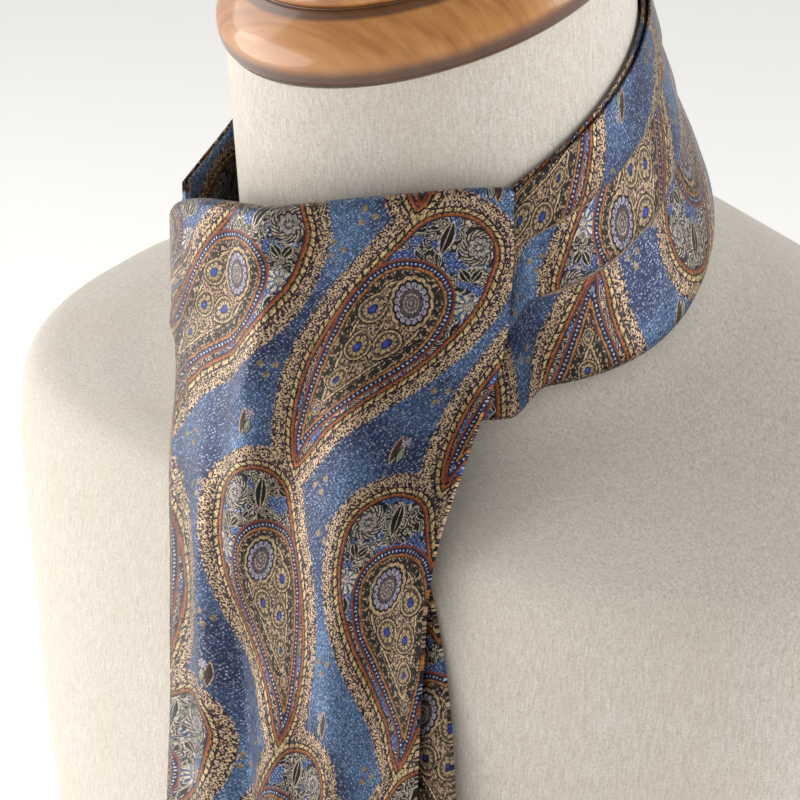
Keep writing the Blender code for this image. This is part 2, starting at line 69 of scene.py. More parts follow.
FORM_SIDES, FORM_FINER = 156, 5  # points round the form, and rings for each of the table's sections
FORM_COLUMNS = ("height", "behind", "tilt", "half_width", "front", "back", "power")
FORM_SECTIONS = (
    (0.000, 0.034, 0.0, 0.148, 0.104, 0.100, 2.15),
    (0.090, 0.034, 0.0, 0.154, 0.110, 0.104, 2.20),
    (0.180, 0.034, 0.0, 0.166, 0.119, 0.108, 2.25),
    (0.260, 0.034, 1.0, 0.177, 0.121, 0.111, 2.30),
    (0.325, 0.033, 4.0, 0.187, 0.115, 0.112, 2.35),
    (0.370, 0.031, 8.0, 0.195, 0.107, 0.110, 2.40),
    (0.400, 0.028, 12.0, 0.191, 0.099, 0.104, 2.35),
    (0.414, 0.025, 16.0, 0.161, 0.092, 0.097, 2.20),
    (0.424, 0.022, 20.0, 0.121, 0.083, 0.088, 2.05),
    (0.433, 0.0190, 23.0, 0.0890, 0.0740, 0.0780, 2.00),
    (0.444, 0.0155, 24.0, 0.0730, 0.0675, 0.0685, 2.00),
    (0.462, 0.0116, 23.5, 0.0672, 0.0646, 0.0640, 2.00),
    (0.488, 0.0075, 22.5, 0.0656, 0.0630, 0.0617, 2.00),
    (0.514, 0.0040, 22.0, 0.0646, 0.0621, 0.0604, 2.00),
)

CAP_SIDES, CAP_FINER = 160, 4
CAP_COLUMNS = ("radius", "height")
CAP_PROFILE = (
    (65.0, 0.0), (66.0, 1.3), (66.0, 4.4), (65.2, 7.2), (63.2, 10.6), (60.2, 14.0),
    (56.9, 16.9), (54.2, 18.7), (53.2, 18.9), (53.4, 19.8), (54.3, 20.9), (54.2, 22.3),
    (52.6, 23.8), (46.0, 26.0), (36.0, 28.2), (24.0, 29.9), (10.0, 30.9),
)
CAP_TOP = 31.1 * MM

# --- the cravat ---------------------------------------------------------------------------------
CLOTH = 1.6 * MM
CLEAR = 0.9 * MM
SEAM = 0.6 * MM
EDGE_ROUND = 0.45
PROBE = 30.0 * MM
LIFT_FADE, LIFT_REACH = 0.82, 3  # a layer's lift fades to this share over each of so many steps
SHARP_ANGLE = 60.0  # degrees between faces, from which their edge is left sharp

EDGE_AT_AXIS = -34.6 * MM
EDGE_RISE = 0.69
LEAN_AT_EDGE, LEAN_GROWTH = 0.12, 1.6
OUTWARD_TIP = 0.2
EDGE_ROUNDS = 12  # how often the upper edge's height is worked out anew

SECTION_COLUMNS = ("drop", "out")
BAND_SECTION = (
    (58.0, 0.0), (44.0, 0.0), (30.0, 0.0), (16.0, 0.0), (4.0, 0.0), (0.6, 0.25),
    (0.0, 0.9), (0.6, 1.4), (3.6, 1.8), (1.4, 2.3), (1.0, 2.8), (1.9, 3.3),
    (8.0, 3.6), (14.4, 3.8), (16.5, 3.2), (16.2, 2.4), (24.0, 3.1), (31.4, 3.4),
    (33.7, 2.8), (33.4, 2.0), (44.0, 2.8), (54.0, 3.1), (57.8, 2.5), (58.6, 1.2),
)
BAND_STEPS, BAND_FINER = 360, 5
BAND_RIGHT_END, BAND_LEFT_END = -46.0, 43.0
BAND_STAND = 0.9 * MM
BAND_WIDTH_AT_THROAT = 0.74
NARROW_FROM, FULL_FROM = 25.0, 100.0
CORNER_FROM, CORNER_SPAN, CORNER_STAND, CORNER_POWER = 68.0, 25.0, 17.5 * MM, 1.75
CORNER_UPRIGHT_SPAN = 40.0
DIP_FROM, DIP_SPAN, DIP_DEPTH = 62.0, 9.0, 9.0 * MM
BAND_CREASE_COLUMNS = ("turn", "lean", "top", "bottom", "breadth", "lift")
BAND_CREASES = (
    (52.0, 10.0, 4.0, 40.0, 4.0, 0.7),
    (66.0, -9.0, 14.0, 56.0, 3.5, -0.6),
    (84.0, 7.0, 2.0, 30.0, 5.0, 0.6),
    (101.0, -12.0, 22.0, 58.0, 4.0, 0.8),
    (128.0, 8.0, 6.0, 44.0, 4.5, -0.6),
    (149.0, -6.0, 18.0, 58.0, 5.0, 0.7),
    (176.0, 9.0, 4.0, 34.0, 4.0, 0.6),
    (-160.0, -7.0, 16.0, 56.0, 5.0, -0.7),
    (-133.0, 8.0, 4.0, 48.0, 4.0, 0.7),
    (-112.0, -9.0, 24.0, 58.0, 4.5, 0.6),
    (-88.0, 7.0, 6.0, 40.0, 4.0, -0.6),
    (-70.0, -8.0, 14.0, 56.0, 4.0, 0.6),
)
BAND_FACE_FROM, BAND_FACE_FULL = 1.5, 2.2  # how far out on the section its outer face begins
BAND_PLEATS = (15, 19)  # the section's points behind its two steps, where cloth is folded out of sight
PLEAT_HIDES = 17.0  # millimetres of cloth out of sight in each of them
BAND_TOP, TOP_HIDES = 6, 16.0  # the section's point at its upper edge, and the cloth tucked in there

WRAP_COLUMNS = ("turn", "stand")
WRAP_PATH = (
    (-46.0, 15.6), (-42.0, 14.6), (-34.0, 13.0), (-20.0, 11.2), (-5.0, 9.4), (10.0, 7.6),
    (25.0, 5.6), (36.0, 3.9), (43.0, 2.6),
)
WRAP_SECTION = (
    (52.0, 0.0), (36.0, 0.0), (18.0, 0.0), (1.2, 0.0), (0.0, 1.3), (1.0, 2.6),
    (16.0, 3.0), (19.0, 2.2), (22.0, 2.9), (36.0, 3.2), (39.0, 2.3), (42.0, 3.0),
    (51.0, 2.7), (53.0, 1.3),
)
WRAP_STEPS, WRAP_FINER = 100, 4
WRAP_EASE_ROUNDS = 4  # how many steps a lift reaches along the wrap
WRAP_DROP = 3.2 * MM
WRAP_SINK, WRAP_SINK_SPAN = 9.0 * MM, 13.0

LEVEL_COLUMNS = ("height", "middle", "front", "reach_right", "depth_right", "reach_left", "depth_left")
FRONT_LEVELS = (
    (-50.0, -7.0, -72.0, 51.5, 17.5, 70.0, 42.0),
    (-75.0, -7.0, -73.0, 52.0, 18.5, 71.0, 42.0),
    (-100.0, -6.0, -75.0, 51.5, 19.0, 71.0, 39.0),
    (-125.0, -4.0, -78.0, 45.5, 16.0, 71.0, 26.0),
    (-150.0, -1.0, -82.0, 43.5, 12.0, 71.0, 13.0),
    (-187.0, 5.0, -87.5, 42.5, 10.5, 68.0, 10.0),
    (-218.0, 12.0, -91.5, 44.5, 9.5, 64.0, 9.0),
    (-260.0, 18.0, -95.5, 48.5, 8.5, 60.0, 8.5),
    (-300.0, 21.0, -97.0, 52.0, 8.0, 58.0, 8.0),
    (-390.0, 22.0, -96.5, 54.0, 7.0, 57.0, 7.0),
)
UNDER_LEVELS = (
    (-84.0, -3.0, -61.0, 27.0, 8.0, 25.0, 6.5),
    (-100.0, -2.0, -61.0, 31.0, 9.0, 29.0, 8.0),
    (-125.0, 2.0, -66.5, 38.0, 9.0, 36.0, 8.0),
    (-150.0, 8.0, -75.5, 44.0, 8.0, 52.0, 9.0),
    (-187.0, 16.0, -81.5, 46.0, 6.5, 62.0, 8.0),
    (-218.0, 22.0, -86.0, 48.0, 6.0, 64.0, 8.0),
    (-260.0, 26.0, -90.0, 50.0, 6.0, 64.0, 8.0),
    (-350.0, 27.0, -91.0, 51.0, 6.0, 64.0, 8.0),
)
CREST_COLUMNS = ("turn", "height")
CREST = (
    (-40.0, -74.5), (-31.0, -69.0), (-21.0, -64.8), (-10.0, -62.0), (0.0, -60.6), (10.0, -58.9),
    (18.0, -56.7), (28.0, -54.3), (40.0, -52.0), (52.0, -50.4), (63.0, -50.6),
)
ROLL_RADIUS, ROLL_RADIUS_AT_EDGE = 2.9 * MM, 1.5 * MM
ROLL_STEPS, ROLL_TURN = 14, 150.0
RISER_STAND = 2.0 * MM
RISER_KNEE, RISER_END = 19.0 * MM, 34.0 * MM
RISER_KNEE_AT_EDGE, RISER_END_AT_EDGE = 2.2 * MM, 3.6 * MM
RISER_CORE, RISER_FADE = 0.50, 0.88
RISER_STEPS = 8  # rows on each half of the riser
FRONT_TIP, FRONT_SHOULDER = -388.0 * MM, -331.0 * MM
UNDER_TIP, UNDER_SHOULDER = -345.0 * MM, -286.0 * MM
UNDER_TOP = -84.0 * MM
HEM_BLUNT = 0.06
ROW_GROWTH = 1.15
FOLD_COLUMNS = ("at_top", "at_bottom", "top", "bottom", "breadth", "lift")
FRONT_FOLDS = (
    (0.17, 0.02, -45.0, -190.0, 0.13, 3.4),
    (0.34, 0.26, -50.0, -170.0, 0.14, -2.0),
    (0.62, 0.50, -80.0, -300.0, 0.16, 2.6),
    (-0.30, -0.48, -120.0, -350.0, 0.17, 3.0),
    (-0.02, -0.10, -170.0, -400.0, 0.13, -2.6),
    (0.22, 0.20, -190.0, -400.0, 0.14, 2.6),
    (0.82, 0.74, -150.0, -340.0, 0.12, -2.0),
)
UNDER_FOLDS = (
    (-0.30, -0.45, -100.0, -340.0, 0.22, 1.2),
    (0.45, 0.40, -120.0, -340.0, 0.20, 1.4),
)
FRONT_CREASES = (
    (0.36, 0.01, -48.0, -128.0, 0.050, 1.0),
    (0.30, -0.06, -48.0, -120.0, 0.060, -0.5),
    (0.60, 0.52, -62.0, -118.0, 0.070, -0.5),
    (0.86, 0.80, -66.0, -150.0, 0.050, 0.5),
    (-0.06, -0.12, -58.0, -96.0, 0.060, -0.4),
    (-0.52, -0.62, -104.0, -196.0, 0.055, 0.7),
    (-0.80, -0.86, -112.0, -330.0, 0.050, -0.6),
    (0.12, 0.02, -196.0, -300.0, 0.060, 0.7),
    (0.52, 0.42, -176.0, -352.0, 0.050, -0.7),
    (-0.22, -0.30, -236.0, -378.0, 0.065, 0.6),
    (0.30, 0.34, -290.0, -384.0, 0.050, 0.5),
)
UNDER_CREASES = (
    (-0.62, -0.70, -120.0, -300.0, 0.060, 0.5),
    (0.10, 0.02, -180.0, -330.0, 0.070, -0.5),
    (0.72, 0.66, -110.0, -280.0, 0.060, 0.6),
)
# The front blade's pleat: its right part lies over the left one along this line and hides some cloth.
PLEAT_COLUMNS = ("height", "share", "hidden")
PLEAT_LINE = (
    (-50.0, -0.25, 11.0), (-63.0, -0.31, 11.0), (-72.0, -0.39, 11.0), (-84.0, -0.42, 9.0),
    (-92.0, -0.54, 7.0), (-99.0, -0.78, 5.0), (-106.0, -1.05, 4.0), (-400.0, -1.05, 4.0),
)
PLEAT_STAND, PLEAT_FADE, PLEAT_DIES = 1.7, 0.42, 0.35
# Where the blade turns away on its right, its cloth is eased: so many millimetres fewer lie across it.
EASED, EASED_FROM, EASED_FULL = 18.0, -78.0, -116.0
EASED_AT_EDGE, EDGE_FROM = 7.0, 0.5
FOLD_START, FOLD_END = 6.0, 4.0
BORN_AT_CREST = -60.0
FRONT_COLUMNS, FRONT_ROWS = 150, 220
FRONT_FINER_ACROSS, FRONT_FINER_DOWN = 6, 7  # how many of these steps fall in one of the frame's
UNDER_COLUMNS, UNDER_ROWS = 70, 130

# --- the woven pattern, in millimetres of cloth ---------------------------------------------------
REPEAT = np.array((52.6, 163.5))  # across and down
# How a repeat's two paisleys lie: 1 for plain or -1 for mirrored, and how far each is moved.
LAYS = ((1.0, (0.0, 0.0)), (-1.0, (-23.5, -83.5)))
REPEATS_BEYOND = 2  # how many repeats past the cloth's ends are looked through
BLADE_TURN, BLADE_ORIGIN = -11.8, (52.8, -31.4)  # how the pattern lies on the front blade
LEVEL_OF_CLOTH = -120.0 * MM  # the height at which the front blade's cloth is measured across
BAND_TURN, BAND_ORIGIN = 147.0, (-345.5, -89.9)
WRAP_TURN, WRAP_ORIGIN, UNDER_ORIGIN = 90.0, (30.0, -20.0), (52.8, -31.4)

# The paisley's outline as discs along its bent spine, and the lobe inside it.
SPINE_COLUMNS = ("x", "y", "radius")
PAISLEY = (
    (6.0, 13.0, 19.5), (2.5, 3.0, 21.6), (-4.5, -10.0, 22.0), (-12.0, -24.0, 19.0),
    (-16.5, -37.0, 14.2), (-18.0, -48.0, 10.2), (-18.0, -56.5, 5.4), (-15.5, -64.0, 1.2),
)
LOBE = (
    (-2.5, -2.5, 14.0), (-5.0, -9.0, 14.6), (-9.0, -17.5, 12.4), (-13.5, -28.0, 8.8),
    (-17.0, -37.5, 5.2), (-19.0, -46.0, 2.6), (-18.5, -52.5, 0.8),
)
# Small motifs round and in a paisley: place, turn in degrees, kind, and the radius that each keeps.
MEDALLION, ROSETTE, DAISY, LEAVES, LONG_LEAF, EYE, DOTS, BUD = range(8)
SMALL_COLUMNS = ("x", "y", "turn", "kind", "radius")
SMALL_MOTIFS = (
    (-0.4, -1.6, 15.0, MEDALLION, 8.0),
    (13.2, 17.0, 0.0, ROSETTE, 6.6),
    (4.3, 18.6, -8.0, LONG_LEAF, 5.6),
    (13.4, 6.4, 100.0, LEAVES, 5.4),
    (14.8, -0.2, 0.0, DAISY, 4.6),
    (13.6, -7.6, -20.0, LONG_LEAF, 3.2),
    (-5.2, 19.6, 60.0, LEAVES, 4.2),
    (-10.4, -5.0, -30.0, EYE, 5.6),
    (-3.2, -14.0, 150.0, EYE, 5.6),
    (-11.2, -16.4, -10.0, EYE, 5.4),
    (-13.8, -26.6, -20.0, EYE, 4.2),
    (-17.0, -36.0, -15.0, EYE, 2.9),
    (-25.0, 12.0, 0.0, DOTS, 4.4),
    (17.3, -27.0, 35.0, DOTS, 4.0),
    (-5.4, -57.5, 60.0, DOTS, 3.8),
    (14.7, -44.7, 0.0, BUD, 5.6),
)
OUTLINE_FINER, ROUND_END = 16, 48  # steps between an outline's discs, and points round its first disc
STEEPEST = 0.95  # how fast a disc's radius may grow along the spine
FIELD_REACH = 13.0  # how far from a paisley's outline its fields are worked out
FAR, FAR_FROM_MOTIF = 60.0, 20.0  # the distances given where there is no paisley or motif

# --- how the pattern is drawn, in millimetres of cloth, and its colours ------------------------------
# A fade is two values of what it follows, then the share at each; without these it goes from 0 to 1.
THREAD_ACROSS, THREAD_DOWN, FRAY = 0.40, 0.48, 0.46
# A thread takes a colour by its random share: above, below, or near a middle within a half.
THREAD_LIGHT, THREAD_DARK, THREAD_VIOLET = 0.62, 0.30, (0.36, 0.06)
TWILL = 0.75
LIT_LEAST, LIT_BY_THREAD, LIT_BY_TWILL = 0.25, 0.74, 0.08  # what share of its colour a thread shows
THREAD_RELIEF, TWILL_RELIEF, BORDER_RELIEF = 0.5, 0.3, (-0.4, 0.4, 0.0, 0.8)
SILK_BUMP, SILK_RELIEF = 0.35, 0.18 * MM
FLECK_WIDE, FLECK_LONG, FLECK_TURN = 0.92, 1.15, 38.0
FLECK_HALF_WIDE, FLECK_HALF_LONG = 0.15, 0.24  # in shares of a cell
FLECK_FROM, FLECK_STRAY, FLECK_SHOWS = (0.2, 0.3), (0.6, 0.4), (0.25, 0.85, 0.0, 0.85)
CREAM, BLACK, TAN_LIGHT, TAN_DARK, TAN_VIOLET = "DABE98", "0A060A", "C0A284", "1C1212", "5C4A6C"
# A shaded and a lit copy of the ground's blue, mixed in random patches as painted shade and painted light.
GROUND_SHADED_BLUE, GROUND_LIT_BLUE, FLECK, GROUND_SHADE = "2A3862", "50709C", "BCC8DA", "151C38"
PATCHES, LIT_PATCH_FADE = 0.035, (0.38, 0.62)  # the ground's random patches of painted shade and painted light: how fine, and the fade
SPECK, SPECK_DARK, SPECK_LIGHT = 0.45, (0.70, 0.98, 0.0, 0.55), (0.0, 0.25, 0.35, 0.0)
FIELD_BLUE, FIELD_DEEP, FIELD_LINE, FIELD_GREY = "3E5690", "16131A", "C2B49C", "746B6A"
CURLS, CURL_DETAIL, CURL_PERIOD = 0.25, 1.5, 0.085
CURL_DEEP, CURL_LINE = -0.35, 0.45  # below and above which a curl's wave is its gap or its line
CROWDS, CROWDED, BARE, BARE_FLECKS = 0.13, (0.44, 0.50), 0.43, 0.8
BORDER_TAN = 4.2
BORDER_SCALLOP, SCALLOP_PERIOD, SCALLOP_FADE = 0.25, 1.6, -1.0
BORDER = (
    (0.0, "64483F"), (4.2, "1C1218"), (4.6, "D4B684"), (5.6, "140E14"), (6.1, "A46032"),
    (6.9, "6C2A20"), (7.2, "1E1220"), (7.5, "1E1220"),
)
DOT_PERIOD, DOT_RADIUS, DOT_RING, DOT_AT = 1.6, 0.34, 0.66, 0.42 * BORDER_TAN
DASHES, DASH_PERIOD, DASH_HALF = (4.6, 5.6), 3.2, 1.25
LOBE_BANDS = (
    (0.0, "8E442A"), (0.7, "161B3A"), (2.4, "B4763A"), (3.1, "241815"), (3.5, "4E3A32"),
    (6.0, "1E1412"), (6.3, "CDB088"), (6.9, "1E1412"), (7.3, "57433A"), (8.0, "57433A"),
)
# The middle and half width of the lobe's tan, where its inmost part starts, and its light and dark
# threads: the random share that a thread passes, and how much it shows.
LOBE_TAN, LOBE_TAN_HALF, LOBE_INNER = 4.75, 1.25, 7.3
LOBE_LIGHT, LOBE_DARK = (0.68, 0.7), (0.28, 0.8)
LACE_CURLS, LACE_PERIOD, LACE_LINE = 0.42, 0.09, 0.5
BEAD_PERIOD, BEAD_RADIUS, BEAD_AT, BEAD = 1.3, 0.33, 1.55, "B4BEDA"
BLOB_PERIOD, BLOB_RADIUS, BLOB_AT, BLOB = 3.6, 0.72, 4.8, "17180F"
BLOB_SQUEEZE, BLOB_WANDER = 0.55, 0.45

# The small motifs, in shares of their own radius unless a line says otherwise.
MOTIF_REACHES, MOTIF_FRAY = 1.15, 0.1  # how far a motif may go past its radius, and its share of the fray
GROUND_MARGIN = -0.4  # a motif of the ground ends so far outside a paisley's edge
KIND_MARGIN = 0.4  # how far a point's kind may lie from a motif's number
BAND_SPARE = 1.02  # the reach of a row of bands, in shares of where the last one starts
MEDALLION_HALF = (5.3, 7.5)  # half its width and height, in millimetres
MEDALLION_PETALS, PETAL_DEPTH = 16, 0.07
MEDALLION_BANDS = (
    (0.0, "B3A498"), (0.10, "2A2028"), (0.17, "9A8A86"), (0.28, "2E2228"), (0.34, "B7A79C"),
    (0.41, "5A4C50"), (0.58, "2A2028"), (0.63, "A49CAC"), (0.86, "120C0E"), (0.97, "BFA27A"),
    (1.12, "1E1412"), (1.18, "1E1412"),
)
PETALS_FROM, PETALS_TO, PETAL_GAP = 0.66, 0.86, 0.30
ROSETTE_BANDS = (
    (0.0, "CFC3AE"), (0.12, "352B38"), (0.22, "A79C98"), (0.44, "332A36"), (0.52, "BDB09E"),
    (0.80, "2A222C"), (0.86, "1F2A58"), (0.98, "BFB4A0"), (1.0, "BFB4A0"),
)
ROSETTE_LOBES, ROSETTE_DEPTH = 9, 0.05
VEINS, VEIN_TWIST, VEIN_LINE, VEINS_FROM, VEINS_TO = 18, 2.0, 0.2, 0.50, 0.82
# The rosette's crescent: its middle and half width as angles, and where it starts. Then its pearls:
# where they lie, how often and how far round as angles, and their radius in millimetres.
CRESCENT, CRESCENT_HALF, CRESCENT_FROM = -2.2, 1.35, 0.83
PEARL_AT, PEARL_EVERY, PEARLS_HALF, PEARL_RADIUS = 0.92, 0.26, 1.3, 0.42
DAISY_BANDS = (
    (0.0, "3A3F7A"), (0.16, "D8CDB2"), (0.26, "2C2734"), (0.34, "CFC5AE"), (0.88, "2B2630"),
    (1.0, "2B2630"),
)
DAISY_PETALS, DAISY_DEPTH, DAISY_GAP, DAISY_FROM = 11, 0.06, 0.35, 0.34
LEAF_ANGLE, LEAF_SLIM, LEAF_RIM = 0.62, 0.66, 0.78
LEAF_LONG, LEAF_VEIN = 2.7, 0.12  # millimetres
LONG_LEAF_RIM = 0.76
LONG_LEAF_WIDE, LONG_LEAF_VEIN = 2.0, -0.28  # millimetres
EYE_BANDS = (
    (0.0, "8C98D0"), (0.09, "2C42A0"), (0.25, "0E1230"), (0.32, "B49C78"), (0.62, "2A1E1A"),
    (0.68, "6E5C4A"), (0.78, "C0A47A"), (0.89, "140E0E"), (1.0, "140E0E"),
)
EYE_ROUND, EYE_POINT, EYE_SHARPNESS = 0.76, 0.55, 4.0  # its round end, and how its point runs past it
EYE_PETALS, EYE_SCALLOP, EYE_SCALLOPED = 11, 0.12, (0.56, 0.09)
EYE_RAY, EYE_RAYS, EYE_RAY_SHARE = 0.30, (0.48, 0.14), 0.9
SPOT, SPOT_OFF = "9C8768", 2.3  # three spots, each so many millimetres from the middle
BUD_BROWN, BUD_GREY, BUD_VIOLET = "4A3226", "9AA08C", "6C66A8"
BUD_SLIM, BUD_RIM = 0.72, 0.72
# The two buds and the bloom, in millimetres.
BROWN_SIDE, BROWN_HALF, GREY_SIDE, GREY_DOWN, GREY_HALF = 0.9, 4.6, -1.1, 1.2, 2.8
BLOOM_UP, BLOOM_RADIUS = -2.6, 1.5
BLOOM_PETALS = 7

# The linen and the wood. Three numbers for a noise are its waves to a millimetre along each axis.
LINEN_PITCH = 0.62
SLUBS, WEFTS, GRAINS = (1.9, 0.22, 1.0), (0.24, 1.9, 1.0), (2.6, 2.6, 1.0)
SLUB_SHARE, WEFT_SHARE, GRAIN_SHARE, RIB_SHARE, RIB_ALONG = 0.55, 0.40, 0.18, 0.025, 0.5
LINEN_SHOWS = (0.26, 0.88)
LINEN_SHADES = ((0.0, "B9AFA3"), (0.40, "CFC6BB"), (0.75, "DAD3C9"), (1.0, "E5DFD7"))
LINEN_STAIN, STAINS, STAIN_SHOWS = "C9BFA9", 0.03, (0.35, 0.75, 0.0, 0.22)
LINEN_BUMP, LINEN_RELIEF = 0.35, 0.20 * MM
SEAM_SIDE = 38  # the column of the form's points that its side seam follows, of FORM_SIDES
SEAM_SHOWS, SEAM_SHARE, SEAM_SINKS = (0.3, 1.1, 1.0, 0.0), 0.45, 0.5
WOOD_SHADES = ((0.0, "945A2A"), (0.35, "AE7036"), (0.7, "BE8244"), (1.0, "C89050"))
WOOD_WARP, WOOD_RINGS, WOOD_PORES = (0.012, 0.03, 0.03), (0.010, 0.34, 0.10), (0.06, 2.2, 2.2)
WARP_SHARE, RINGS_SHOW, PORES_SHOW = 0.3, (0.22, 1.05), (0.58, 0.72, 0.0, 0.22)
WOOD_PORE, WOOD_PAINTED_SHADE = "6E3818", "3E1E0C"
# Heights on the cap: its groove, and its lower rim, which faces down; both are darkened with painted shade.
CREVICE_STARTS, CREVICE_ENDS, CREVICE_SHADE_SHARE = (16.7, 17.6), (19.6, 20.3, 1.0, 0.0), 0.8
# Painted shade on the downward-facing lower rim, darker towards the bottom edge.
FOOT_SHADE_SHOWS = (2.8, 7.2, 0.9, 0.0)
WOOD_BUMP, WOOD_RELIEF = 0.04, 0.20 * MM

# --- camera, lights and stage ---------------------------------------------------------------------
IMAGE_WIDTH, FOCAL_PIXELS, SENSOR = 800, 2764.28, 36.0
CAMERA_AZIMUTH, CAMERA_ELEVATION, CAMERA_DISTANCE = 44.0, 18.7468, 0.85
CAMERA_TARGET = (23.41 * MM, -CAP_AHEAD - 35.78 * MM, CAP_HEIGHT - 123.72 * MM)
LIGHT_TARGET = (0.0, 0.0, 0.45)
# Each light's name, azimuth, elevation, distance, width, height, power and colour.
LIGHTS = (
    ("key", -72.0, 25.0, 2.6, 1.9, 1.9, 25.0, (1.0, 0.98, 0.95)),
    ("side", -51.0, 0.0, 1.6, 1.7, 0.8, 15.0, (1.0, 0.99, 0.97)),
    ("fill", 120.0, 22.0, 2.6, 1.9, 1.9, 42.0, (0.97, 0.98, 1.0)),
)
NEAREST_SEEN = 0.01  # metres in front of the camera
STAGE_COLOUR, STAGE_ROUGHNESS, STAGE_GLOW, STAGE_HEIGHT = "F5F4F2", 0.9, 0.35, -0.0005
STAGE_RADIUS, STAGE_CURVE, STAGE_WALL = 9.0, 2.0, 2.6  # a round floor that curves up into a low wall
STAGE_FLAT, STAGE_SIDES, STAGE_RINGS = 3.0, 96, 12
ROOM_COLOUR, ROOM_STRENGTH = "F1F1EF", 0.42


def named(columns, table):
    """Each column of a table as an array, by its name."""
    return dict(zip(columns, np.array(table, float).T))


def rows_of(columns, table):
    """The rows of a table, each with its numbers by their columns' names."""
    return [SimpleNamespace(**dict(zip(columns, row))) for row in table]


def ease(t):
    """0 below 0, 1 above 1, and a smooth step between."""
    t = np.clip(t, 0.0, 1.0)
    return t * t * (3.0 - 2.0 * t)


def mix(a, b, t):
    """a where t is 0 and b where it is 1."""
    return a + (b - a) * t


def through(xs, ys, x):
    """A smooth curve through the points (xs, ys), read at x; it holds still past either end."""
    if xs[0] > xs[-1]:
        xs, ys = xs[::-1], ys[::-1]
    x = np.clip(x, xs[0], xs[-1])
    slopes = np.gradient(ys, xs)
    i = np.clip(np.searchsorted(xs, x, side="right") - 1, 0, len(xs) - 2)
    step = xs[i + 1] - xs[i]
    t = (x - xs[i]) / step
    start = (1 + 2 * t) * (1 - t) ** 2 * ys[i] + t * (1 - t) ** 2 * step * slopes[i]
    end = t * t * (3 - 2 * t) * ys[i + 1] - t * t * (1 - t) * step * slopes[i + 1]
    return start + end


def finer(table, columns, steps, closed=False):
    """A table's columns read at more places between its rows."""
    rows = named(columns, table)
    count = len(table)
    if closed:
        index = np.arange(-2, count + 3)
        rows = {name: values[index % count] for name, values in rows.items()}
        places = np.arange(count * steps) / steps
    else:
        index = np.arange(count)
        places = np.linspace(0, count - 1, (count - 1) * steps + 1)
    return {name: through(index.astype(float), values, places) for name, values in rows.items()}


def lengths(points, axis=0):
    """How far along a line of points each of them lies."""
    steps = np.linalg.norm(np.diff(points, axis=axis), axis=-1)
    start = np.zeros_like(np.take(steps, [0], axis=axis))
    return np.concatenate([start, np.cumsum(steps, axis=axis)], axis=axis)


def turned(places, degrees):
    """Places on the flat, as a frame sees them that lies turned."""
    c, s = math.cos(math.radians(degrees)), math.sin(math.radians(degrees))
    return np.stack([places @ (c, s), places @ (-s, c)], axis=-1)


# --- meshes -------------------------------------------------------------------------------------
def solid(name, points, faces, finish, fields=None):
    """One closed object, its faces turned outwards, with named values on its points."""
    mesh = bpy.data.meshes.new(name)
    mesh.from_pydata(np.asarray(points, float).tolist(), [], faces)
    for field, values in (fields or {}).items():
        mesh.attributes.new(field, "FLOAT_VECTOR", "POINT").data.foreach_set(
            "vector", np.ascontiguousarray(values, np.float32).ravel()
        )
    work = bmesh.new()
    work.from_mesh(mesh)
    bmesh.ops.recalc_face_normals(work, faces=work.faces)
    work.to_mesh(mesh)
    work.free()
    mesh.shade_smooth()
    mesh.set_sharp_from_angle(angle=math.radians(SHARP_ANGLE))
    mesh.materials.append(finish)
    made = bpy.data.objects.new(name, mesh)
    bpy.context.scene.collection.objects.link(made)
    return made


def tube_faces(rings, sides, top=True):
    """Quads between rings of points that follow each other, with a face on the first ring and the last."""
    a = np.arange(rings - 1)[:, None] * sides + np.arange(sides)[None, :]
    b = np.arange(rings - 1)[:, None] * sides + (np.arange(sides)[None, :] + 1) % sides
    faces = np.stack([a, b, b + sides, a + sides], axis=-1).reshape(-1, 4).tolist()
    faces.append(list(range(sides)))
    if top:
        faces.append(list(range((rings - 1) * sides, rings * sides)))
    return faces


def neck_axis(height):
    """How far behind the origin the neck's axis lies, at a height below the cap's middle."""
    return NECK_BEHIND_CAP - NECK_LEAN * height - CAP_AHEAD


def on_neck(turn, height, stand):
    """The points at turns about the neck's axis, heights from the cap's middle, off the linen."""
    angle = np.radians(turn)
    radius = NECK_RADIUS - NECK_FLARE * height + stand
    x = radius * np.sin(angle)
    y = neck_axis(height) - radius * np.cos(angle)
    return np.stack(np.broadcast_arrays(x, y, CAP_HEIGHT + height), axis=-1)


def make_form(finish):
    tilt = math.radians(CAP_TILT)
    top_height = CAP_HEIGHT + math.tan(tilt) * NECK_BEHIND_CAP - CAP_GAP / math.cos(tilt)
    top = (top_height, NECK_BEHIND_CAP, CAP_TILT, NECK_RADIUS, NECK_TOP_FRONT, NECK_TOP_BACK, 2.0)
    rows = finer((*FORM_SECTIONS, top), FORM_COLUMNS, FORM_FINER)
    turns = np.linspace(0.0, 2 * math.pi, FORM_SIDES, endpoint=False)[None, :]
    at = {name: values[:, None] for name, values in rows.items()}
    across = np.sign(np.sin(turns)) * np.abs(np.sin(turns)) ** (2 / at["power"])
    along = -np.sign(np.cos(turns)) * np.abs(np.cos(turns)) ** (2 / at["power"])
    y = along * np.where(along < 0, at["front"], at["back"])
    z = at["height"] + np.tan(np.radians(at["tilt"])) * y
    points = np.stack([at["half_width"] * across, y + at["behind"] - CAP_AHEAD, z], axis=-1)
    rings = len(points)
    ring = np.concatenate([points, points[:, :1]], axis=1)
    round_it = lengths(ring, axis=1) / MM
    girth = round_it[:, -1:]
    round_it = np.minimum(round_it, girth - round_it)[:, :-1]
    from_side = np.abs(round_it - round_it[:, SEAM_SIDE : SEAM_SIDE + 1])
    from_seam = np.minimum(from_side, girth / 2 - round_it)
    along = lengths(points[:, 0]) / MM
    weave = np.stack([round_it, np.broadcast_to(along[:, None], round_it.shape), from_seam], axis=-1)
    fields = {"weave": weave.reshape(-1, 3)}
    return solid("form_linen", points.reshape(-1, 3), tube_faces(rings, FORM_SIDES), finish, fields)


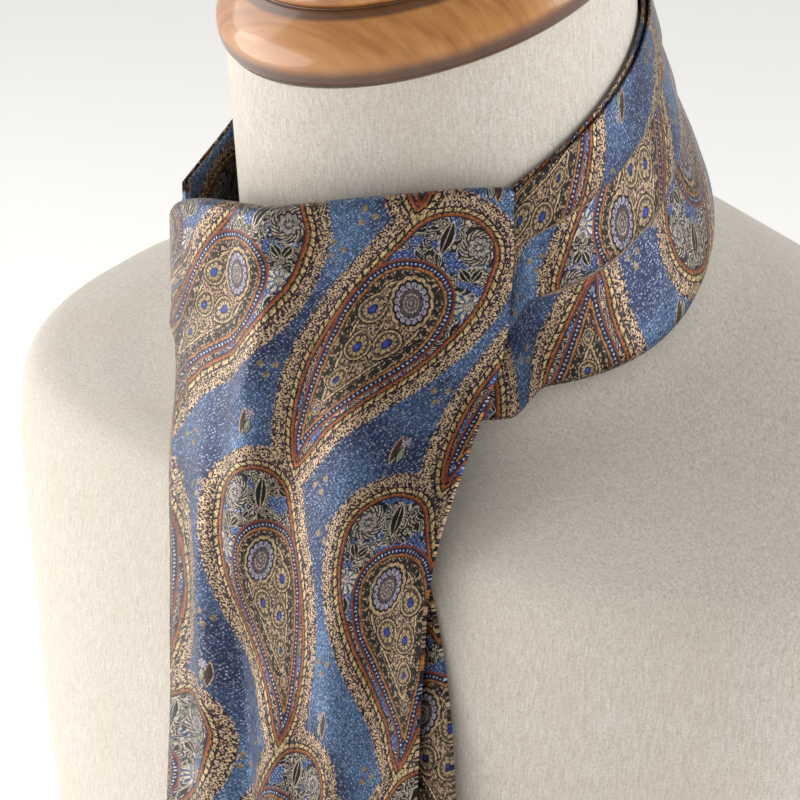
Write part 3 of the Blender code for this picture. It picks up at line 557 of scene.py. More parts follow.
def make_cap(finish):
    """The turned cap: its profile spun round an upright axis, then tipped forward as a whole."""
    rows = finer(CAP_PROFILE, CAP_COLUMNS, CAP_FINER)
    turns = np.linspace(0.0, 2 * math.pi, CAP_SIDES, endpoint=False)[None, :]
    radius, height = rows["radius"][:, None] * MM, rows["height"][:, None] * MM
    ring = np.stack(np.broadcast_arrays(radius * np.cos(turns), radius * np.sin(turns), height), axis=-1)
    points = np.concatenate([ring.reshape(-1, 3), [(0.0, 0.0, CAP_TOP)]])
    faces = tube_faces(len(ring), CAP_SIDES, top=False)
    last = (len(ring) - 1) * CAP_SIDES
    for side in range(CAP_SIDES):
        faces.append([last + side, last + (side + 1) % CAP_SIDES, len(points) - 1])
    tip = Matrix.Rotation(math.radians(CAP_TILT), 4, "X")
    place = Matrix.Translation((0.0, -CAP_AHEAD, CAP_HEIGHT)) @ tip
    tipped = points @ np.array(place.to_3x3()).T + np.array(place.translation)
    return solid("cap_turned", tipped, faces, finish, {"turned": points / MM})


# --- cloth helpers ------------------------------------------------------------------------------
def tree_of(made):
    return BVHTree.FromPolygons(
        [v.co for v in made.data.vertices], [tuple(p.vertices) for p in made.data.polygons]
    )


def push_out(points, tree, gap):
    """The points, moved clear of a body that they are nearer to than gap or inside of."""
    moved = points.reshape(-1, 3).copy()
    for i, point in enumerate(moved):
        place, normal, _, distance = tree.find_nearest(point)
        side = (Vector(point) - place).dot(normal)
        if (distance if side >= 0 else -distance) < gap:
            moved[i] = place + normal * gap
    return moved.reshape(points.shape)


def lift_off(points, outwards, trees, gap):
    """How far each point moves outward to lie gap above the outer face of any layer under it."""
    flat, ways = points.reshape(-1, 3), outwards.reshape(-1, 3)
    lifts = np.zeros(len(flat))
    for i, (point, way) in enumerate(zip(flat, ways)):
        point, way = Vector(point), Vector(way)
        for tree in trees:
            place, _, _, _ = tree.ray_cast(point + way * PROBE, -way, PROBE + gap)
            if place is not None:
                lifts[i] = max(lifts[i], (place - point).dot(way) + gap)
    return lifts.reshape(points.shape[:-1])


def spread(lifts, steps_down, steps_across):
    """The lifts, spread to their neighbours so that a layer's edge leaves no step above it."""
    fade_down, fade_across = LIFT_FADE ** (1.0 / steps_down), LIFT_FADE ** (1.0 / steps_across)
    wide = lifts
    for _ in range(LIFT_REACH * max(steps_down, steps_across)):
        edged = np.pad(wide, 1, mode="edge")
        across = np.maximum(edged[1:-1, :-2], edged[1:-1, 2:]) * fade_across
        down = np.maximum(edged[:-2, 1:-1], edged[2:, 1:-1]) * fade_down
        wide = np.maximum(wide, np.maximum(across, down))
    return wide


def grid_normals(grid):
    normals = np.cross(np.gradient(grid, axis=1), np.gradient(grid, axis=0))
    return normals / np.linalg.norm(normals, axis=2, keepdims=True)


def cloth_wall(name, grid, cloth, finish):
    """A closed wall on both sides of lines of points, with rounded edges, and its woven pattern."""
    grid, cloth = grid.transpose(1, 0, 2), cloth.transpose(1, 0, 2)
    rows, columns = grid.shape[:2]
    normals = grid_normals(grid)
    rim = [(0, c) for c in range(columns)]
    rim += [(r, columns - 1) for r in range(1, rows)]
    rim += [(rows - 1, c) for c in range(columns - 2, -1, -1)]
    rim += [(r, 0) for r in range(rows - 2, 0, -1)]
    edge = []
    for r, c in rim:
        away = np.zeros(3)
        if r in (0, rows - 1):
            step = grid[r, c] - grid[1 if r == 0 else rows - 2, c]
            away += step / np.linalg.norm(step)
        if c in (0, columns - 1):
            step = grid[r, c] - grid[r, 1 if c == 0 else columns - 2]
            away += step / np.linalg.norm(step)
        edge.append(grid[r, c] + away / np.linalg.norm(away) * CLOTH * EDGE_ROUND)
    faces_at = [grid + normals * CLOTH / 2, grid - normals * CLOTH / 2]
    points = np.concatenate([f.reshape(-1, 3) for f in faces_at] + [np.array(edge)])
    count = rows * columns
    a = (np.arange(rows - 1)[:, None] * columns + np.arange(columns - 1)[None, :]).ravel()
    quads = np.stack([a, a + 1, a + columns + 1, a + columns], axis=-1)
    faces = quads.tolist() + (count + quads[:, ::-1]).tolist()
    for i, (r, c) in enumerate(rim):
        j = (i + 1) % len(rim)
        p, q = r * columns + c, rim[j][0] * columns + rim[j][1]
        faces.append([q, p, 2 * count + i, 2 * count + j])
        faces.append([count + p, count + q, 2 * count + j, 2 * count + i])
    rim_cloth = np.array([cloth[r, c] for r, c in rim])
    flat = cloth.reshape(-1, 2)
    return solid(name, points, faces, finish, pattern_fields(np.concatenate([flat, flat, rim_cloth])))


def swept_wall(name, points, cloth, finish):
    """A wall through sections that follow each other, each a closed ring of points."""
    rings, sides = points.shape[:2]
    fields = pattern_fields(cloth.reshape(-1, 2))
    return solid(name, points.reshape(-1, 3), tube_faces(rings, sides), finish, fields)


# --- the woven pattern's fields -------------------------------------------------------------------
def outline_of(discs):
    """A closed outline round discs that follow each other along a bent spine, from its tip round."""
    rows = finer(discs, SPINE_COLUMNS, OUTLINE_FINER)
    spine = np.stack([rows["x"], rows["y"]], axis=1)
    way = np.gradient(spine, axis=0)
    way /= np.linalg.norm(way, axis=1, keepdims=True)
    side = np.stack([-way[:, 1], way[:, 0]], axis=1)
    radius = rows["radius"][:, None]
    slope = np.gradient(rows["radius"], lengths(spine))[:, None].clip(-STEEPEST, STEEPEST)
    flank = np.sqrt(1.0 - slope**2)
    left = spine + radius * (side * flank - way * slope)
    right = spine - radius * (side * flank + way * slope)
    start = math.atan2(*(right[0] - spine[0])[::-1])
    end = math.atan2(*(left[0] - spine[0])[::-1])
    if end > start:
        end -= 2 * math.pi
    angles = np.linspace(start, end, ROUND_END)[1:-1]
    cap = spine[0] + radius[0] * np.stack([np.cos(angles), np.sin(angles)], axis=1)
    return np.concatenate([right[::-1], cap, left])


def outline_fields(points, outline):
    """Distance to a closed outline, negative inside it, and how far round it the nearest place is."""
    starts, ends = outline, np.roll(outline, -1, axis=0)
    round_to = np.concatenate([[0.0], np.cumsum(np.linalg.norm(ends - starts, axis=1))])
    nearest = np.full(len(points), np.inf)
    around = np.zeros(len(points))
    inside = np.zeros(len(points), bool)
    for a, b, so_far in zip(starts, ends, round_to):
        edge = b - a
        off = points - a
        t = np.clip(off @ edge / (edge @ edge), 0.0, 1.0)
        away = np.linalg.norm(off - t[:, None] * edge, axis=1)
        closer = away < nearest
        nearest = np.where(closer, away, nearest)
        around = np.where(closer, so_far + t * np.linalg.norm(edge), around)
        crosses = (a[1] > points[:, 1]) != (b[1] > points[:, 1])
        if a[1] != b[1]:
            inside ^= crosses & (points[:, 0] < a[0] + edge[0] * (points[:, 1] - a[1]) / edge[1])
    return np.where(inside, -nearest, nearest), around


PAISLEY_OUTLINE = outline_of(PAISLEY)
LOBE_OUTLINE = outline_of(LOBE)


def pattern_fields(cloth):
    """The woven pattern's values at places on the cloth, for the silk's material.

    "bands" holds the distance to the nearest paisley's outline, how far round it that is, and the
    distance to the lobe in it. "marks" holds how far round the lobe, and the place in the nearest small
    motif. "kinds" holds that motif's kind, the distance to its middle and its radius.
    """
    count = len(cloth)
    nearest, lobe = np.full(count, FAR), np.full(count, FAR)
    rim, lobe_rim, kind, radius = np.zeros((4, count))
    share, away, place = np.full(count, np.inf), np.full(count, FAR_FROM_MOTIF), np.zeros((count, 2))
    columns, rows = (
        range(math.floor(low) - REPEATS_BEYOND, math.ceil(high) + REPEATS_BEYOND + 1)
        for low, high in zip(cloth.min(axis=0) / REPEAT, cloth.max(axis=0) / REPEAT)
    )
    low, high = PAISLEY_OUTLINE.min(axis=0) - FIELD_REACH, PAISLEY_OUTLINE.max(axis=0) + FIELD_REACH
    for column, row, (flip, moved) in itertools.product(columns, rows, LAYS):
        local = (cloth - (REPEAT * (column, row) + moved)) * (flip, 1.0)
        index = np.nonzero(((local > low) & (local < high)).all(axis=1))[0]
        if not len(index):
            continue
        own = local[index]
        distance, around = outline_fields(own, PAISLEY_OUTLINE)
        closer = distance < nearest[index]
        taken = index[closer]
        nearest[taken], rim[taken] = distance[closer], around[closer]
        lobe[taken], lobe_rim[taken] = outline_fields(own[closer], LOBE_OUTLINE)
        for small in rows_of(SMALL_COLUMNS, SMALL_MOTIFS):
            off = own - (small.x, small.y)
            distance = np.linalg.norm(off, axis=1)
            closer = distance / small.radius < share[index]
            taken = index[closer]
            share[taken], away[taken] = distance[closer] / small.radius, distance[closer]
            kind[taken], radius[taken] = small.kind, small.radius
            place[taken] = turned(off[closer], small.turn)
    return {
        "bands": np.stack([nearest, rim, lobe], axis=1),
        "marks": np.column_stack([lobe_rim, place]),
        "kinds": np.stack([kind, away, radius], axis=1),
        "cloth": np.column_stack([cloth, np.zeros(count)]),
    }


def laid(across, down, origin, turn):
    """Places on the cloth in the pattern's own frame, which lies turned about an origin on it."""
    return turned(np.stack(np.broadcast_arrays(across - origin[0], down - origin[1]), axis=-1), turn)


# --- neckband and wrap --------------------------------------------------------------------------
def upper_edge(turn, stand):
    """Height, from the cap's middle, at which the plane of the upper edge crosses these turns."""
    height = np.full(np.shape(turn), EDGE_AT_AXIS)
    for _ in range(EDGE_ROUNDS):
        height = EDGE_AT_AXIS + EDGE_RISE * (on_neck(turn, height, stand)[..., 1] + CAP_AHEAD)
    return height


def fall_along(turn):
    """Upright drop for each metre of the band's width, which is laid square to its slanting edge."""
    slope = EDGE_RISE * np.sin(np.radians(turn))
    closed = ease((np.abs(turn) - NARROW_FROM) / (FULL_FROM - NARROW_FROM))
    return np.hypot(1.0, slope) * mix(BAND_WIDTH_AT_THROAT, 1.0, closed)


def outward_at(turn):
    angle = np.radians(turn)
    way = np.stack([np.sin(angle), -np.cos(angle), np.full(np.shape(turn), OUTWARD_TIP)], axis=-1)
    return way / np.linalg.norm(way, axis=-1, keepdims=True)


def hang(turn, height, stand, drop, lean_share=1.0):
    """Points of a band's inner face, at drops below its upper edge at this height and stand."""
    lean = (LEAN_AT_EDGE + LEAN_GROWTH * drop) * drop * lean_share
    return on_neck(turn, height - drop, stand + lean)


def make_neckband(form, finish):
    section = finer(BAND_SECTION, SECTION_COLUMNS, BAND_FINER, closed=True)
    drop, out = section["drop"][None, :], section["out"][None, :]
    run = np.linspace(BAND_RIGHT_END, BAND_LEFT_END - 360.0, BAND_STEPS)[:, None]
    turn = np.where(run > -180.0, run, run + 360.0)
    right = turn < 0
    gone = np.where(right, np.maximum(0.0, (CORNER_FROM + turn) / CORNER_SPAN), 0.0)
    stand = BAND_STAND + CORNER_STAND * gone**CORNER_POWER
    upright = ease((-turn - CORNER_FROM + CORNER_SPAN) / CORNER_UPRIGHT_SPAN)
    dip = np.where(right, 0.0, DIP_DEPTH * ease((DIP_FROM - turn) / DIP_SPAN))
    height = upper_edge(turn, stand) - dip
    lean_share = np.where(right, upright, 1.0)
    inner = push_out(hang(turn, height, stand, drop * MM * fall_along(turn), lean_share), form, CLEAR)
    out = out + band_crease(turn, drop) * ease((out - BAND_FACE_FROM) / (BAND_FACE_FULL - BAND_FACE_FROM))
    points = inner + outward_at(turn) * (out * MM)[..., None]
    return swept_wall("silk_neckband", points, band_cloth(points), finish)


def band_crease(turn, drop):
    """How far the small creases stand out on the band's outer face, in millimetres."""
    total = 0.0
    for crease in rows_of(BAND_CREASE_COLUMNS, BAND_CREASES):
        down = (drop - crease.top) / (crease.bottom - crease.top)
        away = (turn - crease.turn - crease.lean * down + 180.0) % 360.0 - 180.0
        shown = ease(down * FOLD_START) * ease((1.0 - down) * FOLD_END)
        total = total + crease.lift * shown * np.exp(-((away / crease.breadth) ** 2))
    return total


def band_cloth(points):
    """Places on the band's cloth, which is pleated: part of it is folded out of sight at each step."""
    sides = points.shape[1]
    middle = points[len(points) // 2]
    down = lengths(middle) / MM
    for pleat in BAND_PLEATS:
        down = down + np.where(np.arange(sides) > pleat * BAND_FINER, PLEAT_HIDES, 0.0)
    down = down + np.where(np.arange(sides) < BAND_TOP * BAND_FINER, -TOP_HIDES, 0.0)
    outer = points[:, BAND_PLEATS[0] * BAND_FINER]
    along = lengths(outer) / MM
    return laid(-along[:, None], -down[None, :], BAND_ORIGIN, BAND_TURN)


def make_throat_wrap(form, under, finish):
    path = named(WRAP_COLUMNS, WRAP_PATH)
    section = finer(WRAP_SECTION, SECTION_COLUMNS, WRAP_FINER, closed=True)
    seam = math.degrees(SEAM / NECK_RADIUS)
    turn = np.linspace(BAND_RIGHT_END + seam, BAND_LEFT_END - seam, WRAP_STEPS)[:, None]
    stand = through(path["turn"], path["stand"], turn) * MM
    sunk = WRAP_DROP + WRAP_SINK * ease((turn - BAND_RIGHT_END) / WRAP_SINK_SPAN)
    height = upper_edge(turn, stand) - sunk
    inner = push_out(hang(turn, height, stand, section["drop"] * MM * fall_along(turn)), form, CLEAR)
    outward = np.broadcast_to(outward_at(turn), inner.shape)
    lift = lift_off(inner, outward, (under,), CLEAR)
    for _ in range(WRAP_EASE_ROUNDS):
        edged = np.pad(lift, ((1, 1), (0, 0)), mode="edge")
        lift = np.maximum(lift, np.maximum(edged[:-2], edged[2:]))
    points = inner + outward * (lift + section["out"] * MM)[..., None]
    along, down = lengths(points[:, 0])[:, None] / MM, lengths(points[len(points) // 2]) / MM
    cloth = laid(along, -down[None, :], WRAP_ORIGIN, WRAP_TURN)
    return swept_wall("silk_throat_wrap", points, cloth, finish)


# --- blades -------------------------------------------------------------------------------------
def plan_point(levels, share, height):
    """Points of a blade at shares of its half width, and the ways out of it, at heights."""
    share, height = np.broadcast_arrays(share, height)
    at = {name: through(levels["height"], values, height / MM) for name, values in levels.items()}
    reach = np.where(share > 0, at["reach_left"], at["reach_right"]) * MM
    depth = np.where(share > 0, at["depth_left"], at["depth_right"]) * MM
    radius = (reach**2 + depth**2) / (2 * depth)
    angle = 2 * np.arctan(depth / reach) * share
    x = at["middle"] * MM + radius * np.sin(angle)
    y = at["front"] * MM + radius * (1 - np.cos(angle)) - CAP_AHEAD
    outward = np.stack([np.sin(angle), -np.cos(angle), np.zeros(angle.shape)], axis=-1)
    return np.stack([x, y, CAP_HEIGHT + height], axis=-1), outward


def fold_lift(folds, share, height):
    """How far the soft folds stand out at places."""
    total = np.zeros(np.broadcast_shapes(np.shape(share), np.shape(height)))
    for fold in rows_of(FOLD_COLUMNS, folds):
        down = (fold.top - height / MM) / (fold.top - fold.bottom)
        begun = 1.0 if fold.top > BORN_AT_CREST else 0.0
        shown = ease(down * FOLD_START + begun) * ease((1.0 - down) * FOLD_END)
        off = (share - mix(fold.at_top, fold.at_bottom, down)) / fold.breadth
        total = total + fold.lift * shown * np.exp(-off * off)
    return total * MM


def pleat_at(share, height):
    """How far the pleat's upper layer stands out, and the millimetres of cloth hidden left of its edge."""
    line = named(PLEAT_COLUMNS, PLEAT_LINE)
    edge, hidden = (np.interp(-height / MM, -line["height"], line[name]) for name in ("share", "hidden"))
    past = share - edge
    over = past > 0
    stands = PLEAT_STAND * MM * (1.0 - ease(past / PLEAT_FADE)) * ease((share + 1.0) / PLEAT_DIES)
    return np.where(over, stands, 0.0), np.where(over, 0.0, hidden)


def over_roll():
    """What share of the lift at the crest each row of the rolled part takes."""
    return np.concatenate([np.zeros(2 * RISER_STEPS), ease(np.linspace(0.0, 1.0, ROLL_STEPS))])


def hem_height(share, tip, shoulder):
    return mix(tip, shoulder, np.hypot(share, HEM_BLUNT))


def crest_height(share):
    crest = named(CREST_COLUMNS, CREST)
    turn = share * np.where(share > 0, crest["turn"][-1], -crest["turn"][0])
    return through(crest["turn"], crest["height"], turn) * MM - CLOTH / 2


def roll_points(levels, share):
    """From the riser's end up the neck and over the crest to where the blade starts to fall."""
    full = (1.0 - ease((np.abs(share) - RISER_CORE) / (RISER_FADE - RISER_CORE)))[:, None]
    crest = crest_height(share)
    radius = mix(ROLL_RADIUS_AT_EDGE, ROLL_RADIUS, full)
    start, outward = plan_point(levels, share, crest - radius[:, 0])
    angle = math.radians(ROLL_TURN) * np.linspace(1.0, 0.0, ROLL_STEPS)[None, :, None]
    over = outward[:, None] * (np.cos(angle) - 1.0) + np.array((0.0, 0.0, 1.0)) * np.sin(angle)
    arc = start[:, None] + over * radius[:, None]
    turn = np.degrees(np.arctan2(start[:, 0], neck_axis(crest) - start[:, 1]))
    inside = start - outward * 2 * radius
    knee = mix(inside - (0, 0, RISER_KNEE_AT_EDGE), on_neck(turn, crest - RISER_KNEE, RISER_STAND), full)
    end = mix(inside - (0, 0, RISER_END_AT_EDGE), on_neck(turn, crest - RISER_END, RISER_STAND), full)
    up = np.linspace(0.0, 1.0, RISER_STEPS, endpoint=False)[None, :, None]
    lower = mix(end[:, None], knee[:, None], up)
    upper = mix(knee[:, None], arc[:, :1], up)
    return np.concatenate([lower, upper, arc], axis=1), crest - radius[:, 0], outward


def make_front_blade(form, beneath, finish):
    levels = named(LEVEL_COLUMNS, FRONT_LEVELS)
    share = np.linspace(-1.0, 1.0, FRONT_COLUMNS)
    rolled, top, roll_out = roll_points(levels, share)
    inner_rows = rolled.shape[1] - 1
    hem = hem_height(share, FRONT_TIP, FRONT_SHOULDER)[:, None]
    down = (np.arange(1, FRONT_ROWS + 1) / FRONT_ROWS)[None, :] ** ROW_GROWTH
    height = mix(top[:, None], hem, down)
    fall, fall_out = plan_point(levels, share[:, None], height)
    heights = np.concatenate([np.repeat(top[:, None], inner_rows + 1, axis=1), height], axis=1)
    stands, hidden = pleat_at(share[:, None], heights)
    stands = stands + fold_lift(FRONT_FOLDS + FRONT_CREASES, share[:, None], heights)
    stands[:, : inner_rows + 1] *= over_roll()
    grid = np.concatenate([rolled, fall], axis=1)
    outward = np.concatenate([np.repeat(roll_out[:, None], inner_rows + 1, axis=1), fall_out], axis=1)
    grid = grid + outward * stands[..., None]
    grid = draped(grid, outward, inner_rows, form, beneath)
    row, _ = plan_point(levels, share, LEVEL_OF_CLOTH)
    across = lengths(row) / MM
    across = across - np.interp(0.0, share, across)
    fallen = lengths(grid, axis=1) / MM
    crest = np.argmax(grid[..., 2], axis=1)
    fallen = fallen - fallen[np.arange(FRONT_COLUMNS), crest][:, None]
    turned_away = ease((heights / MM - EASED_FROM) / (EASED_FULL - EASED_FROM))
    eased = EASED * np.maximum(-share, 0.0)[:, None] * turned_away
    eased = eased + EASED_AT_EDGE * ease((-share[:, None] - EDGE_FROM) / (1.0 - EDGE_FROM))
    cloth = laid(across[:, None] - hidden + eased, -fallen, BLADE_ORIGIN, BLADE_TURN)
    return cloth_wall("silk_front_blade", grid, cloth, finish)


def make_under_blade(form, finish):
    levels = named(LEVEL_COLUMNS, UNDER_LEVELS)
    share = np.linspace(-1.0, 1.0, UNDER_COLUMNS)
    hem = hem_height(share, UNDER_TIP, UNDER_SHOULDER)[:, None]
    height = mix(UNDER_TOP, hem, np.linspace(0.0, 1.0, UNDER_ROWS + 1)[None, :])
    grid, outward = plan_point(levels, share[:, None], height)
    grid = grid + outward * fold_lift(UNDER_FOLDS + UNDER_CREASES, share[:, None], height)[..., None]
    grid = draped(grid, outward, 0, form, ())
    across = lengths(grid[:, UNDER_ROWS // 2]) / MM
    cloth = laid(across[:, None], -lengths(grid, axis=1) / MM, UNDER_ORIGIN, BLADE_TURN)
    return cloth_wall("silk_under_blade", grid, cloth, finish)


def draped(grid, outward, first_row, form, beneath):
    """A blade's points kept clear of the form and of the layers beneath."""
    keep = CLEAR + CLOTH / 2
    grid = push_out(grid, form, keep)
    lifts = np.zeros(grid.shape[:2])
    if beneath:
        lifts[:, first_row:] = lift_off(grid[:, first_row:], outward[:, first_row:], beneath, keep)
    lifts = spread(lifts, FRONT_FINER_DOWN, FRONT_FINER_ACROSS)
    if first_row:
        lifts[:, : first_row + 1] = lifts[:, first_row + 1 : first_row + 2] * over_roll()
    return grid + outward * lifts[..., None]


# --- materials ------------------------------------------------------------------------------------
def srgb(colour):
    """A colour like 6A7FB5 in the linear values that Blender takes."""
    values = np.array([int(colour[i : i + 2], 16) for i in (0, 2, 4)]) / 255.0
    linear = np.where(values <= 0.04045, values / 12.92, ((values + 0.055) / 1.055) ** 2.4)
    return (*linear.tolist(), 1.0)


class Value:
    """A number that a material's nodes work out; sums, products and comparisons of it are nodes too."""

    def __init__(self, graph, socket):
        self.graph, self.socket = graph, socket

    def __add__(self, other):
        return self.graph.math("ADD", self, other)

    def __sub__(self, other):
        return self.graph.math("SUBTRACT", self, other)

    def __rsub__(self, other):
        return self.graph.math("SUBTRACT", other, self)

    def __mul__(self, other):
        return self.graph.math("MULTIPLY", self, other)

    def __truediv__(self, other):
        return self.graph.math("DIVIDE", self, other)

    def __pow__(self, other):
        return self.graph.math("POWER", self, other)

    def __abs__(self):
        return self.graph.math("ABSOLUTE", self)

    def __lt__(self, other):
        """1 where this is below the other, and 0 elsewhere."""
        return self.graph.math("LESS_THAN", self, other)

    def __gt__(self, other):
        return self.graph.math("GREATER_THAN", self, other)

    __radd__, __rmul__ = __add__, __mul__


class Graph:
    """The nodes of one material, joined up in short steps."""

    def __init__(self, name, **shader_values):
        self.made = bpy.data.materials.new(name)
        self.made.use_nodes = True
        self.tree = self.made.node_tree
        self.shader = self.tree.nodes["Principled BSDF"].inputs
        for socket, value in shader_values.items():
            self.shader[socket.replace("_", " ")].default_value = value

    def join(self, value, socket):
        value = value.socket if isinstance(value, Value) else value
        if isinstance(value, bpy.types.NodeSocket):
            self.tree.links.new(value, socket)
        else:
            socket.default_value = srgb(value) if isinstance(value, str) else value

    def node(self, kind, *values, **settings):
        made = self.tree.nodes.new("ShaderNode" + kind)
        for name, value in settings.items():
            setattr(made, name, value)
        for socket, value in zip([s for s in made.inputs if s.enabled], values):
            self.join(value, socket)
        return made

    def math(self, operation, *values):
        return Value(self, self.node("Math", *values, operation=operation).outputs[0])

    def vector(self, operation, *values):
        return self.node("VectorMath", *values, operation=operation).outputs[0]

    def parts(self, vector):
        return [Value(self, socket) for socket in self.node("SeparateXYZ", vector).outputs]

    def attribute(self, name):
        """The three numbers of an attribute of the points, and all of them as one vector."""
        vector = self.node("Attribute", attribute_name=name).outputs["Vector"]
        return self.parts(vector), vector

    def sine(self, value):
        return self.math("SINE", value)

    def wave(self, value, period):
        """-1 to 1, up and down once in each period."""
        return self.sine(value * (2 * math.pi / period))

    def beside(self, value, period):
        """How far a value lies from the middle of the period that it falls in."""
        return self.math("WRAP", value, period / 2, -period / 2)

    def near(self, value, middle, half):
        """1 where a value lies within half of a middle."""
        return abs(value - middle) < half

    def size(self, a, b):
        """How far from (0, 0) a point (a, b) lies."""
        return self.math("SQRT", a * a + b * b)

    def fade(self, value, low, high, at_low=0.0, at_high=1.0):
        """A smooth step: at_low up to low, and at_high from high on."""
        node = self.node("MapRange", value, low, high, at_low, at_high, interpolation_type="SMOOTHSTEP")
        return Value(self, node.outputs[0])

    def mix(self, share, a, b):
        node = self.tree.nodes.new("ShaderNodeMix")
        node.data_type = "RGBA"
        for socket, value in zip((node.inputs[0], node.inputs[6], node.inputs[7]), (share, a, b)):
            self.join(value, socket)
        return node.outputs[2]

    def paint(self, colour, *layers):
        """A colour with others laid over it in turn, each by its share."""
        for share, over in layers:
            colour = self.mix(share, colour, over)
        return colour

    def ramp(self, value, stops, reach, interpolation):
        node = self.node("ValToRGB", value)
        node.color_ramp.interpolation = interpolation
        for _ in stops[2:]:
            node.color_ramp.elements.new(0.5)
        for element, (place, colour) in zip(node.color_ramp.elements, stops):
            element.position = place / reach
            element.color = srgb(colour)
        return node.outputs[0]

    def bands(self, value, stops):
        """A colour for each stretch of a distance: stops give where each stretch starts, and its colour."""
        reach = stops[-1][0] * BAND_SPARE
        return self.ramp(value * (1.0 / reach), stops, reach, "CONSTANT")

    def shades(self, value, stops):
        """Colours that blend into each other as a value goes from 0 to 1."""
        return self.ramp(value, stops, 1.0, "LINEAR")

    def scaled(self, vector, factors, turn=0.0):
        """A vector turned about Z and stretched."""
        turned = self.node("VectorRotate", vector, (0.0, 0.0, 0.0), (0.0, 0.0, 1.0), math.radians(turn))
        return self.vector("MULTIPLY", turned.outputs[0], factors)

    def noise(self, vector, scale, detail=2.0):
        """Soft random shares; a scale may have a number for each axis."""
        if isinstance(scale, tuple):
            vector, scale = self.scaled(vector, scale), 1.0
        node = self.node("TexNoise", vector, noise_dimensions="3D")
        node.inputs["Scale"].default_value = scale
        node.inputs["Detail"].default_value = detail
        return Value(self, node.outputs[0])

    def cell(self, vector):
        """A random share for each whole cell of a vector, three more, and the place within the cell."""
        random = self.node("TexWhiteNoise", self.vector("FLOOR", vector), noise_dimensions="3D").outputs
        more, within = self.parts(random["Color"]), self.parts(self.vector("FRACTION", vector))
        return Value(self, random["Value"]), more, within

    def finish(self, colour, relief, strength, distance):
        """Gives the shader its colour and its bumps."""
        self.join(colour, self.shader["Base Color"])
        bump = self.tree.nodes.new("ShaderNodeBump")
        bump.inputs["Strength"].default_value = strength
        bump.inputs["Distance"].default_value = distance
        self.join(relief, bump.inputs["Height"])
        self.join(bump.outputs[0], self.shader["Normal"])
        return self.made


def linen_material():
    g = Graph("linen_form", Roughness=0.9, Sheen_Weight=0.12, Sheen_Roughness=0.6)
    (round_it, along, from_seam), place = g.attribute("weave")
    slub, weft = g.noise(place, SLUBS), g.noise(place, WEFTS)
    grain, _, _ = g.cell(g.scaled(place, GRAINS))
    ribs = g.wave(round_it, LINEN_PITCH) + g.wave(along, LINEN_PITCH) * RIB_ALONG
    threads = slub * SLUB_SHARE + weft * WEFT_SHARE + grain * GRAIN_SHARE + ribs * RIB_SHARE
    seam = g.fade(from_seam, *SEAM_SHOWS)
    colour = g.paint(
        g.shades(g.fade(threads, *LINEN_SHOWS), LINEN_SHADES),
        (g.fade(g.noise(place, STAINS), *STAIN_SHOWS), LINEN_STAIN),
        (seam * SEAM_SHARE, LINEN_STAIN),
    )
    return g.finish(colour, threads - seam * SEAM_SINKS, LINEN_BUMP, LINEN_RELIEF)


def wood_material():
    g = Graph("wood_cap", Roughness=0.42, Coat_Weight=0.5, Coat_Roughness=0.10)
    (_, _, height), place = g.attribute("turned")
    rings = g.noise(place, WOOD_RINGS) + g.noise(place, WOOD_WARP, 1.0) * WARP_SHARE
    pores = g.noise(place, WOOD_PORES)
    # Painted shade in the groove between the dome and the bead.
    groove_shade = g.fade(height, *CREVICE_STARTS) * g.fade(height, *CREVICE_ENDS)
    colour = g.paint(
        g.shades(g.fade(rings, *RINGS_SHOW), WOOD_SHADES),
        (g.fade(pores, *PORES_SHOW), WOOD_PORE),
        (groove_shade * CREVICE_SHADE_SHARE, WOOD_PAINTED_SHADE),
        # Painted shade on the lower rim, which faces down.
        (g.fade(height, *FOOT_SHADE_SHOWS), WOOD_PAINTED_SHADE),
    )
    return g.finish(colour, pores, WOOD_BUMP, WOOD_RELIEF)


def stage_material():
    g = Graph("stage_pale", Roughness=STAGE_ROUGHNESS, Emission_Strength=STAGE_GLOW)
    for socket in ("Base Color", "Emission Color"):
        g.join(STAGE_COLOUR, g.shader[socket])
    return g.made


def silk_ground(g, place, dash, fleck):
    """The ground: blue twill with short bright flecks, laid in random patches of painted shade and painted
    light.
    """
    speck, _, _ = g.cell(g.scaled(place, (1 / SPECK, 1 / SPECK, 1.0), FLECK_TURN))
    return g.paint(
        GROUND_SHADED_BLUE,
        (g.fade(g.noise(place, PATCHES, 1.0), *LIT_PATCH_FADE), GROUND_LIT_BLUE),
        (g.fade(speck, *SPECK_DARK), GROUND_SHADE),
        (g.fade(speck, *SPECK_LIGHT), FLECK),
        (dash * g.fade(fleck, *FLECK_SHOWS), FLECK),
    )


def silk_border(g, inward, rim, thread):
    """A paisley's border, seen from its edge inwards."""
    in_tan = inward < BORDER_TAN
    dot = g.size(g.beside(rim, DOT_PERIOD), inward - DOT_AT)
    gap = abs(g.beside(rim + inward, DASH_PERIOD)) > DASH_HALF
    in_dashes = (inward > DASHES[0]) * (inward < DASHES[1])
    return g.paint(
        g.bands(inward, BORDER),
        (in_tan * (thread > THREAD_LIGHT), TAN_LIGHT),
        (in_tan * (thread < THREAD_DARK), TAN_DARK),
        (in_tan * g.near(thread, *THREAD_VIOLET), TAN_VIOLET),
        (dot < DOT_RING, CREAM),
        (dot < DOT_RADIUS, BLACK),
        (gap * in_dashes, BLACK),
    )


def silk_field(g, place, dash):
    """The field between the border and the lobe: blue, crowded with pale and dark curled leaves."""
    lines = g.wave(g.noise(place, CURLS, CURL_DETAIL), CURL_PERIOD)
    crowd = g.noise(place, CROWDS, 1.0)
    bare = crowd < BARE
    return g.paint(
        FIELD_BLUE,
        (g.fade(crowd, *CROWDED), FIELD_GREY),
        (lines < CURL_DEEP, FIELD_DEEP),
        (lines > CURL_LINE, FIELD_LINE),
        (bare, FIELD_BLUE),
        (bare * dash * BARE_FLECKS, FLECK),
    )


